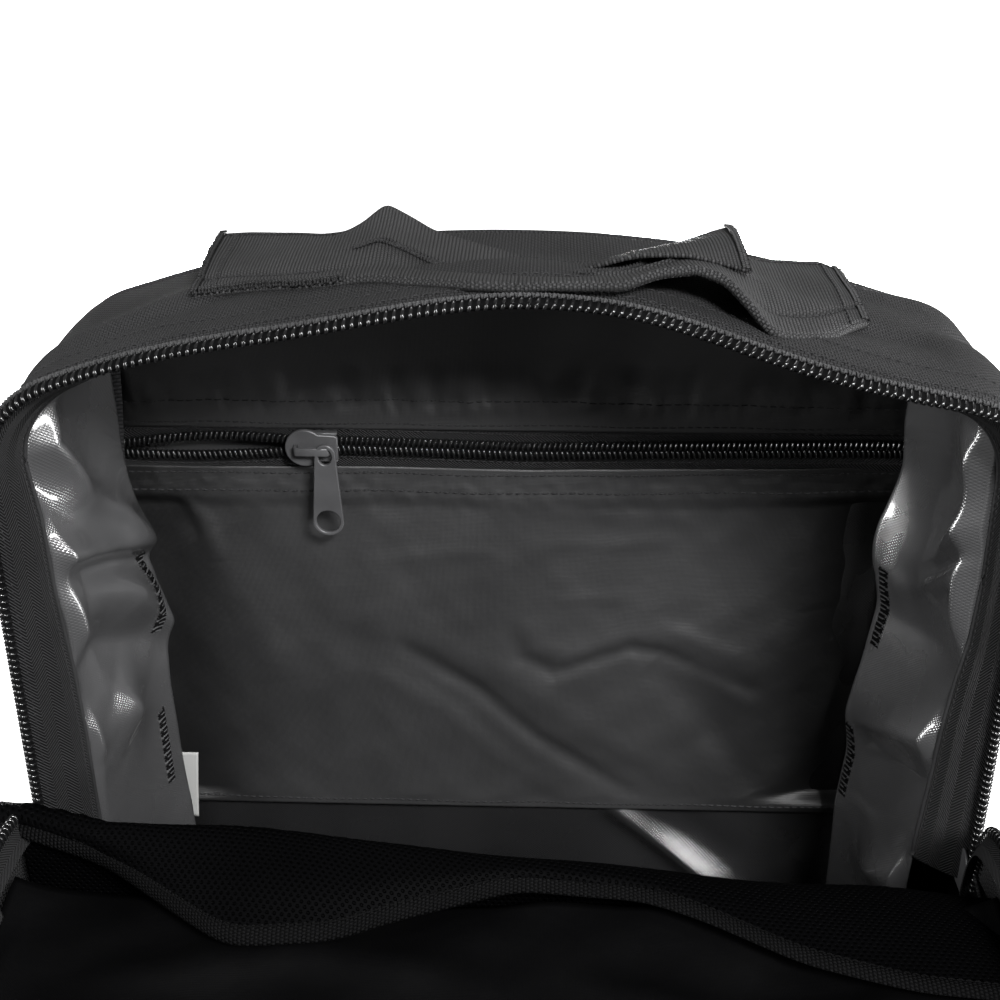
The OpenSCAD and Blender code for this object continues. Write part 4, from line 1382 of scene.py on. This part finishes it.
def make_flap():
    b = Build(fold)
    X, Z, S = panel_grid(FOLD_Z + 1.5, HEIGHT - 0.6, 0.6, 90, 120)
    top = (Z - FOLD_Z) / (HEIGHT - FOLD_Z)
    puff = (1 - S ** 10) * np.sin(PI * np.clip(top, 0, 1)) ** 0.5
    P = stack(X, FRONT_Y - puff * (0.6 + 0.6 * ripples(X, Z, 70, 81)), Z)
    b.sheet(P.swapaxes(0, 1), 1.4, uv=stack(X, Z).swapaxes(0, 1), mat_back=1)
    end = outline_at(FOLD_Z + 20)
    d = np.arange(-end, end, 2.5)
    D, T = spread(d, np.linspace(0, 1, 12))
    x, z, nx, nz = outline(D)
    lift = 1.6 * np.sin(PI * T)
    G = stack(x + nx * lift, FRONT_Y + 0.5 + 25.5 * T, z + nz * lift)
    b.sheet(G, 1.2, uv=stack(D, T * 26), mat_back=1)
    x, z, nx, nz = outline(d, 0.2)
    b.tube(stack(x, FRONT_Y + 1.2, z), 1.9, 8, 2, up=(0, 1, 0))
    settle(b.make("flap_shell", [SHELL, DARK_NYLON, FINE_RIB]), "flap",
           ["flap_panel", "flap_gusset_left", "flap_gusset_right", "flap_gusset_top"])

    b = Build(fold)
    X, Z, S = panel_grid(FOLD_Z + 2, HEIGHT - 3, 3.0, 120, 160)
    lift = 2.6 + 2.0 * ripples(X, Z, 90, 83) + 0.9 * ripples(X, Z, 32, 84)
    lift = lift + stroke(X, Z, [(-120, 262), (-60, 250), (0, 262)], 8, 3)
    lift = lift + stroke(X, Z, [(20, 258), (70, 272), (120, 262)], 7, 2.6)
    P = stack(X, FRONT_Y + 3.4 + np.clip(lift, 0, 9) + 6 * np.abs(S) ** 14, Z)
    b.sheet(P, 0.6, uv=stack(X, Z))
    settle(b.make("flap_lining_cloth", [DARK_NYLON]), "flap", ["flap_lining"])

    b = Build(fold)
    end = outline_at(FOLD_Z + 22)
    path, out, d = main_path(-end, end, 0, 1.4)
    path[:, 1] = FRONT_Y + 29.0
    x, z, nx, nz = outline(d, 1.4)
    path[:, 0], path[:, 2] = x, z
    main_chain_half(b, path, (0, 1, 0), out)
    w = np.linspace(0, 1, 8)[None, :, None]
    G = (path - out * 0.9)[:, None] + w * (np.array([0, -13.0, 0]) - out[:, None] * 4.5)
    b.sheet(G, 0.5, 3, stack(*spread(d, w.ravel() * 14)))
    settle(b.make("main_chain_flap", [COIL, CORD, THREAD, TAPE]), "flap", ["main_coil_flap"])


CREST_X = [-158, -150, -116, -54, 8, 72, 150]
CREST_Z = [251, 253, 254, 250.5, 243.5, 236, 230]
EDGE_X = [-158, -146, -126, -96, -79, -50, -30, 5.5, 42, 59.5, 87, 120, 150]
EDGE_Y = [-50, -52, -57, -73, -83, -80, -71, -61, -62, -69, -84, -95, -100]
EDGE_Z = [250, 250, 245, 238, 236, 236, 237, 240, 238, 237, 236, 236, 236]


def make_mesh_pocket():
    """The mesh pocket inside the front: it stands against the lower front and tips over the fold."""
    x = np.linspace(-157, 151, 246)
    crest = np.interp(x, CREST_X, CREST_Z)
    edge_y, edge_z = np.interp(x, EDGE_X, EDGE_Y), np.interp(x, EDGE_X, EDGE_Z)
    crest, edge_y, edge_z = (softened(v, 10) for v in (crest, edge_y, edge_z))
    rows = []
    for k, xx in enumerate(x):
        crest_y = max(-56.0, edge_y[k] + 4)
        low_x = max(xx, -150.0)
        pts = [(low_x, -50.5, 40), (low_x, -50, 110), (low_x, -49.5, 180), (low_x, -49.8, crest[k] - 18),
               (xx, -51.0, crest[k] - 5), (xx, crest_y + 1.5, crest[k] - 0.4),
               (xx, (crest_y + edge_y[k]) / 2 - 1, (crest[k] + edge_z[k]) / 2 + 1.2),
               (xx, edge_y[k], edge_z[k])]
        fine = smooth_path(pts, 0.5)
        run = np.linspace(0, len(fine) - 1, 150)
        rows.append(sample(run, np.arange(len(fine)), fine))
    P = np.array(rows)
    steps = np.linalg.norm(np.diff(P, axis=1), axis=2)
    V = np.cumsum(np.concatenate([np.zeros((len(x), 1)), steps], 1), 1)
    U = np.broadcast_to(x[:, None], V.shape)
    n = normals(P)
    P = P + n * (1.0 * ripples(U, V, 60, 91) * np.clip(V / 60, 0, 1))[..., None]
    b = Build()
    b.sheet(P, 0.5, uv=stack(U, V))
    obj = b.make("mesh_pocket", [MESH])
    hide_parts("mesh_pocket_panel", "mesh_pocket_top")
    wide = float(np.linalg.norm(np.diff(P[:, -1], axis=0), axis=1).sum())
    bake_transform(obj)

    b = Build()
    last, along = P[:, -1], unit(np.gradient(P[:, -1], axis=0))
    fall = unit(P[:, -1] - P[:, -6])
    up = -unit(np.cross(along, fall))
    w = np.linspace(-1, 1, 9)[:, None]
    half = 3.4
    G = last[:, None] + fall[:, None] * (w * half) + up[:, None] * (1.3 * (1 - w ** 2))
    uv = stack(*spread(lengths(last[:, None], 0), -w[:, 0] * half))
    b.sheet(G[:, ::-1], 1.9, uv=uv[:, ::-1])
    chord_stitches(b, last - fall * 1.9 + up * 1.1, up, 2.4)
    obj = b.make("elastic_edge", [ELASTIC, CORD])
    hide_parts("elastic_binding")
    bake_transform(obj)


def make_fold_corners():
    """Cloth, tape and chain that cross the fold at both sides."""
    for side, name in ((1, "left"), (-1, "right")):
        b = Build()
        rim = smooth_path([(151.6, -35, 216), (151.6, -36, 228), (151.0, -40, 240), (150.6, -47, 248.5),
                           (150.6, -60, 252.4), (150.9, -81, 252.6), (150.9, -90, 252.4)], 1.0)
        low = smooth_path([(152.2, -56, 213), (152.2, -56.5, 215), (152.2, -57.5, 217), (152.2, -60, 219),
                           (152.2, -66, 220), (152.2, -81, 221), (152.2, -92, 222)], 1.0)
        at = np.linspace(0, 1, 60)
        rim_p, low_p = (sample(at, np.linspace(0, 1, len(c)), c) for c in (rim, low))
        w = np.linspace(0, 1, 14)
        G = rim_p[:, None] * (1 - w)[:, None] + low_p[:, None] * w[:, None]
        G[..., 0] += (2.2 + 0.8 * ripples(G[..., 1], G[..., 2], 18, 95 + side)) * np.sin(PI * w)
        chain = (rim + (0, 0.8, 0.6)) * (side, 1, 1)
        main_chain_half(b, chain, (0, 0.75, 0.66), (side, 0, 0), 2)
        G[..., 0] *= side
        b.sheet(G[:, ::-side], 1.2, 0)
        tape = G[:, :1] - (side, 0, 0) + np.linspace(0, 1, 7)[:, None] * (-side * 3.0, 0, -7.0)
        b.sheet(tape[:, ::side], 0.5, 1)
        obj = b.make("fold_corner_" + name, [SHELL, TAPE, COIL, CORD, THREAD])
        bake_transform(obj)


# ---------- carrying handle ----------

# distance along X, then y and lift of the front edge and of the rear edge
HANDLE = [
    (-96, 14, 2.2, 60, 8.6), (-88, 12, 2.4, 60, 7.0), (-75, 7, 2.4, 54, 5.6), (-60, 2, 2.4, 44, 5.6),
    (-52, 0, 2.6, 39, 7.0), (-46, -1, 2.8, 41, 9.0), (-40, -3, 3.0, 48, 11.5), (-35, -5, 3.0, 41, 10.5),
    (-24, -12, 3.0, 31, 6.4), (-10, -23, 3.2, 24, 3.8), (3, -25, 3.4, 16, 2.2), (18, -26, 4.0, 12, 1.7),
    (32, -26, 6.5, 15, 1.7), (42, -19, 10.0, 21, 3.2), (52, -15, 12.3, 27, 5.2), (61, -17, 11.5, 34, 7.4),
    (67, -22, 8.0, 38, 7.0), (73, -26, 3.6, 37, 4.0), (82, -21, 2.4, 42, 3.4), (92, -14, 2.4, 49, 3.8),
    (99, -4, 2.4, 53, 4.2), (105, 4, 2.4, 54, 3.0)]


def arch_point(x, y, lift):
    """A point above the top of the pack, allowing for the slack rim."""
    d = ARCH_R * np.arcsin(np.clip(x / ARCH_R, -0.5, 0.5))
    _, dz = rim_shift(d)
    front = 1 - ramp(y, -28, 15)
    sewn = 1 - ramp(x, -58, -34) * (1 - ramp(x, 60, 78))
    top = ARCH_Z + np.sqrt(ARCH_R ** 2 - x ** 2) + dz * front - top_drop(x, y) * sewn
    return stack(x + 0 * y, y, top + lift)


def handle_half(name, x0, x1):
    """The handle between two distances along X: a doubled band, sewn flat outside, free between."""
    table = np.array(HANDLE, float)
    x = np.arange(x0, x1 + 0.01, 1.0)
    yf, hf, yr, hr = (np.interp(x, table[:, 0], table[:, k]) for k in (1, 2, 3, 4))
    yf, hf, yr, hr = (softened(v, 4) for v in (yf, hf, yr, hr))
    w = np.linspace(0, 1, 45)
    X, W = spread(x, w)
    Y = yf[:, None] + (yr - yf)[:, None] * W
    sag = np.sin(PI * W)
    free = (ramp(x, -58, -34) * (1 - ramp(x, 60, 78)))[:, None]
    H = hf[:, None] + (hr - hf)[:, None] * W + sag * (0.7 - 1.6 * free) + 0.35 * ripples(X, Y, 22, 101)
    H = H + free * 1.3 * (W > 0.5) * np.exp(-(W - 0.5) * 9)
    H = H + free * stroke(X, W * 44, [(-46, 8), (-20, 20), (20, 24)], 5, -1.4)
    H = H - (1 - free) * 0.9 * (np.exp(-((W - 0.2) * 40) ** 2) + np.exp(-((W - 0.97) * 40) ** 2))
    top = arch_point(X, Y, H)
    b = Build()
    uv = stack(X, W * 48)
    b.sheet(top, 1.3, uv=uv)
    under = arch_point(X, Y + 0.6, np.maximum(H - 2.2, 0.6))
    b.sheet(under, 1.0, uv=uv)
    for k in (0, 44):
        b.tube((top[:, k] + under[:, k]) / 2 - (0, 0, 0.5), 1.25)
    at = np.round(44 * (0.5 + 0.48 * ramp(x, 12, 68))).astype(int)
    seam = top[np.arange(len(x)), at] + (0, -0.4, 0.4)
    mid = seam[(x > -48) & (x < 66)]
    b.tube(mid, 0.55, 6)
    for p in mid[:-1]:
        b.tube(p + [(0, -1.0, -0.2), (0.3, 0.2, 0.75), (0.6, 1.3, 0.2)], 0.3, 5, 1)
    for k in (8, 41):
        chord_stitches(b, top[(x < -52) | (x > 76), k] + (0, 0, 0.25), (0, 0, 1), 2.6, radius=0.36)
    if x0 < 0:
        end = top[6] + (0, 0, 0.25)
        fray(b, top[0], (-1, 0, 0), 103)
        fray(b, top[:48, 0], (0, -1, 0), 104)
    else:
        end = top[-7] + (0, 0, 0.25)
        fray(b, top[-1], (1, 0, 0), 105)
        cone_end(b)
    chord_stitches(b, end, (0, 0, 1.0), 2.6, radius=0.36)
    obj = b.make(name, [WEBBING, THREAD])
    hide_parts("handle_anchors" if x0 < 0 else "handle_grip")
    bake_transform(obj)


def fray(b, line, out, seed):
    """Overlocked raw edge: loops of thread standing a little off the edge."""
    rng = np.random.default_rng(seed)
    line = even(np.asarray(line, float), 1.15)
    out = np.array(out, float)
    for p in line:
        j = rng.uniform(-0.4, 0.4, 3)
        b.tube([p + (0, 0, 0.9) - out * 1.6, p + (0, 0, 0.7) + out * 0.5 + j * 0.6,
                p + (0, 0, -0.5) + out + j, p + (0, 0, -1.6) - out * 0.6], 0.42, 5)


def cone_end(b):
    """The raw end of the grip's upper layer, which stands up at its tip."""
    rows = []
    for k in np.linspace(0, 1, 30):
        x = np.array(20 + 49 * k)
        low = np.interp(k, [0, 0.35, 0.65, 1], [1.4, 8.0, 10.4, 9.4])
        high = np.interp(k, [0, 0.4, 0.7, 1], [0.6, 4.0, 6.8, 11.0])
        front = arch_point(x, np.array(5 - 3.5 * k), low)
        rear = arch_point(x - 1.5 * k, np.array(10.5 + 28 * k), high)
        w = np.linspace(0, 1, 16)[:, None]
        rows.append(front * (1 - w) + rear * w + (0, 0, 1) * np.sin(PI * w) * (0.4 + 1.8 * k))
    P = np.array(rows)
    uv = stack(*spread(np.linspace(0, 49, 30), np.linspace(0, 30, 16)))
    b.sheet(P, 1.2, uv=uv)
    fray(b, P[-1], (1, 0, 0), 107)
    b.tube(P[:, -1] - (0, 0, 0.5), np.linspace(0.2, 0.9, 30), 7, 0)


def make_handle():
    handle_half("handle_left_half", -96, 3)
    handle_half("handle_right_half", 3, 105)


# ---------- shoulder straps and back pads ----------

def rounded_pad(b, x, z, half, y0, thick, edge_power=2.6):
    """A pad along a row of centres: crowned faces, its edges drawn in."""
    a = np.linspace(0, 2 * PI, 48, endpoint=False)
    c, s = np.cos(a), np.sin(a)
    across = np.sign(c) * np.abs(c) ** (2 / edge_power)
    over = np.sign(s) * np.abs(s) ** (2 / edge_power)
    P = stack(x[:, None] + half[:, None] * across, y0 + thick / 2 + thick / 2 * over, z[:, None])
    n = len(a)
    faces = grid_faces(len(x), n, close_cols=True)
    faces.append(list(range(n - 1, -1, -1)))
    faces.append([(len(x) - 1) * n + k for k in range(n)])
    b.add(P, faces, P[..., (0, 2)].reshape(-1, 2))


def bake_modifiers(obj):
    graph = bpy.context.evaluated_depsgraph_get()
    mesh = bpy.data.meshes.new_from_object(obj.evaluated_get(graph))
    old = obj.data
    obj.modifiers.clear()
    obj.data = mesh
    bpy.data.meshes.remove(old)


VOXEL = 5.0
PRESSURE = 4.0


def swell(obj, cap):
    """Fills a pad: an even mesh of it is blown up as cloth, and no point moves beyond the cap."""
    modifier = obj.modifiers.new("even", "REMESH")
    modifier.mode, modifier.voxel_size = "VOXEL", VOXEL * MM
    bake_modifiers(obj)
    before = coordinates(obj.data)
    cloth = obj.modifiers.new("cloth", "CLOTH")
    cloth.settings.effector_weights.gravity = 0
    cloth.settings.use_pressure = True
    cloth.settings.uniform_pressure_force = PRESSURE
    for frame_number in range(1, 21):
        bpy.context.scene.frame_set(frame_number)
    graph = bpy.context.evaluated_depsgraph_get()
    after = coordinates(obj.evaluated_get(graph).data)
    move = after - before
    size = np.linalg.norm(move, axis=1, keepdims=True)
    move *= np.minimum(1, cap * MM / np.maximum(size, 1e-9))
    obj.modifiers.clear()
    obj.data.vertices.foreach_set("co", (before + move).ravel())
    bpy.context.scene.frame_set(1)
    rounder = obj.modifiers.new("round", "SUBSURF")
    rounder.levels = rounder.render_levels = 1
    bake_modifiers(obj)
    where = coordinates(obj.data) / MM
    finish_mesh(obj.data, where[:, (0, 2)])


STRAP_TOP, STRAP_LOW = 384.0, 138.0


def strap_shape(z):
    """How far out a shoulder strap's middle is at a height, and half its width."""
    down, long = STRAP_TOP - z, STRAP_TOP - STRAP_LOW
    return 44 + 44 * smooth(down / (long - 30)), 31 - 6 * smooth(down / long)


def make_straps():
    for side, name in ((1, "left"), (-1, "right")):
        body = "shoulder_strap_" + name
        z = np.linspace(STRAP_LOW + 2, STRAP_TOP - 2, 70)
        x, half = strap_shape(z)
        ends = np.clip(np.minimum(z - STRAP_LOW, STRAP_TOP - z) / 9, 0.2, 1) ** 0.5
        b = Build()
        rounded_pad(b, side * x, z, (half - 2.0) * ends, 69.2, 9.4)
        obj = b.make("strap_pad_" + name, [AIR_MESH])
        swell(obj, 3.0)
        settle(obj, body, [body])
        b = Build()
        for edge in (-1, 1):
            line = stack(side * (x + edge * (half * ends - 0.9)), 74.0, z)
            b.tube(line, 1.6, 8, 0, up=(0, 1, 0), flat=1.7)
        zz = np.arange(150, 352, 2.0)
        sx, _ = strap_shape(zz)
        strip(b, stack(side * sx, 81.4 + 0.8 * np.abs(np.sin(zz / 26)), zz), (-1, 0, 0), WEB, 1.4, mat=1)
        for at in (152, 190, 232, 274, 316, 348):
            cx = strap_shape(at)[0] * side
            bar_tacks(b, [(cx - 11, 83.0, at), (cx + 11, 83.0, at)], (0, 1, 0),
                      [(0, 0, -0.7), (0, 0, 0.7)], 1.3, 0.34, 2)
        low_x = strap_shape(STRAP_LOW)[0] * side
        loop = [(79, 150), (77.4, 143), (75.4, 135.5), (73.2, 131.4), (71.0, 134.5), (71.6, 142),
                (72.5, 150)]
        strip(b, smooth_path([(low_x, *at) for at in loop], 1.0), (1, 0, 0), WEB, 1.3, mat=1)
        settle(b.make("strap_trim_" + name, [FINE_RIB, WEBBING, THREAD]), body)

        b = Build()
        foot = [(63.4, 34), (64.0, 60), (65.5, 84), (69.5, 103), (72.2, 110), (75.8, 112.5), (77.6, 117),
                (76.8, 121.5), (73.2, 123.2), (70.2, 119), (69.4, 108), (68.8, 92), (68.0, 78)]
        strip(b, smooth_path([(low_x, *at) for at in foot], 1.0), (-1, 0, 0), WEB - 0.5, 1.2)
        obj = b.make("lower_strap_" + name, [WEBBING])
        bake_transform(obj)

    b = Build()
    z = np.linspace(351, 387, 24)
    rounded_pad(b, np.zeros(24), z, np.full(24, 78.0) - 5 * ramp(z, 370, 388), 61.2, 4.6)
    obj = b.make("yoke_pad", [SHELL])
    swell(obj, 1.6)
    settle(obj, "pack", ["shoulder_yoke"])

    b = Build()
    for side in (-1, 1):
        for z0, z1 in ((74, 204), (212, 342)):
            z = np.linspace(z0 + 2, z1 - 2, 40)
            ends = np.clip(np.minimum(z - z0, z1 - z) / 12, 0.25, 1) ** 0.5
            rounded_pad(b, np.full(40, side * 69.0), z, 53.0 * (0.9 + 0.1 * ends), 59.6, 5.2, 3.4)
    obj = b.make("back_pads_filled", [AIR_MESH])
    swell(obj, 2.2)
    settle(obj, "pack", ["back_pads"])

    b = Build()
    for side in (-1, 1):
        X, W = spread(np.linspace(0, 1, 30), np.linspace(0, 1, 30))
        x = 148 - 70 * X
        z = 16 + 6 * X + (4 + 38 * X) * W
        P = stack(side * x, 61.6 + 0.8 * np.sin(PI * W) * np.sin(PI * X), z)
        b.sheet(P[:, ::-side], 2.0, 0, stack(x, z))
        tab = stack(side * 88.0, 63.6 + 0.2 * np.sin(np.arange(20)), np.linspace(34, 60, 20))
        strip(b, tab, (-1, 0, 0), WEB, 1.5, mat=1)
        cross_stitch(b, (side * 88 - 10, 64.0, 37), (1, 0, 0), (0, 0, 1), (0, 1, 0), 20, 18)
    settle(b.make("strap_anchor_cloth", [SHELL, WEBBING, THREAD]), "pack", ["strap_tabs"])


# ---------- build ----------

make_stage()
make_shell()
make_main_chain()
make_side_lining(-1, "side_lining_right")
make_side_lining(1, "side_lining_left")
make_back_wall()
make_inner_zip()
make_all_sliders()
make_outer_panels()
make_side_webbing()
make_front_pockets()
make_flap()
make_mesh_pocket()
make_fold_corners()
make_handle()
make_straps()

for name in ("buckle_socket_left", "buckle_socket_right", "buckle_plug_left", "buckle_plug_right",
             "ladder_lock_left", "ladder_lock_right"):
    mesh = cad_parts[name].data
    mesh.materials.clear()
    mesh.materials.append(PLASTIC)
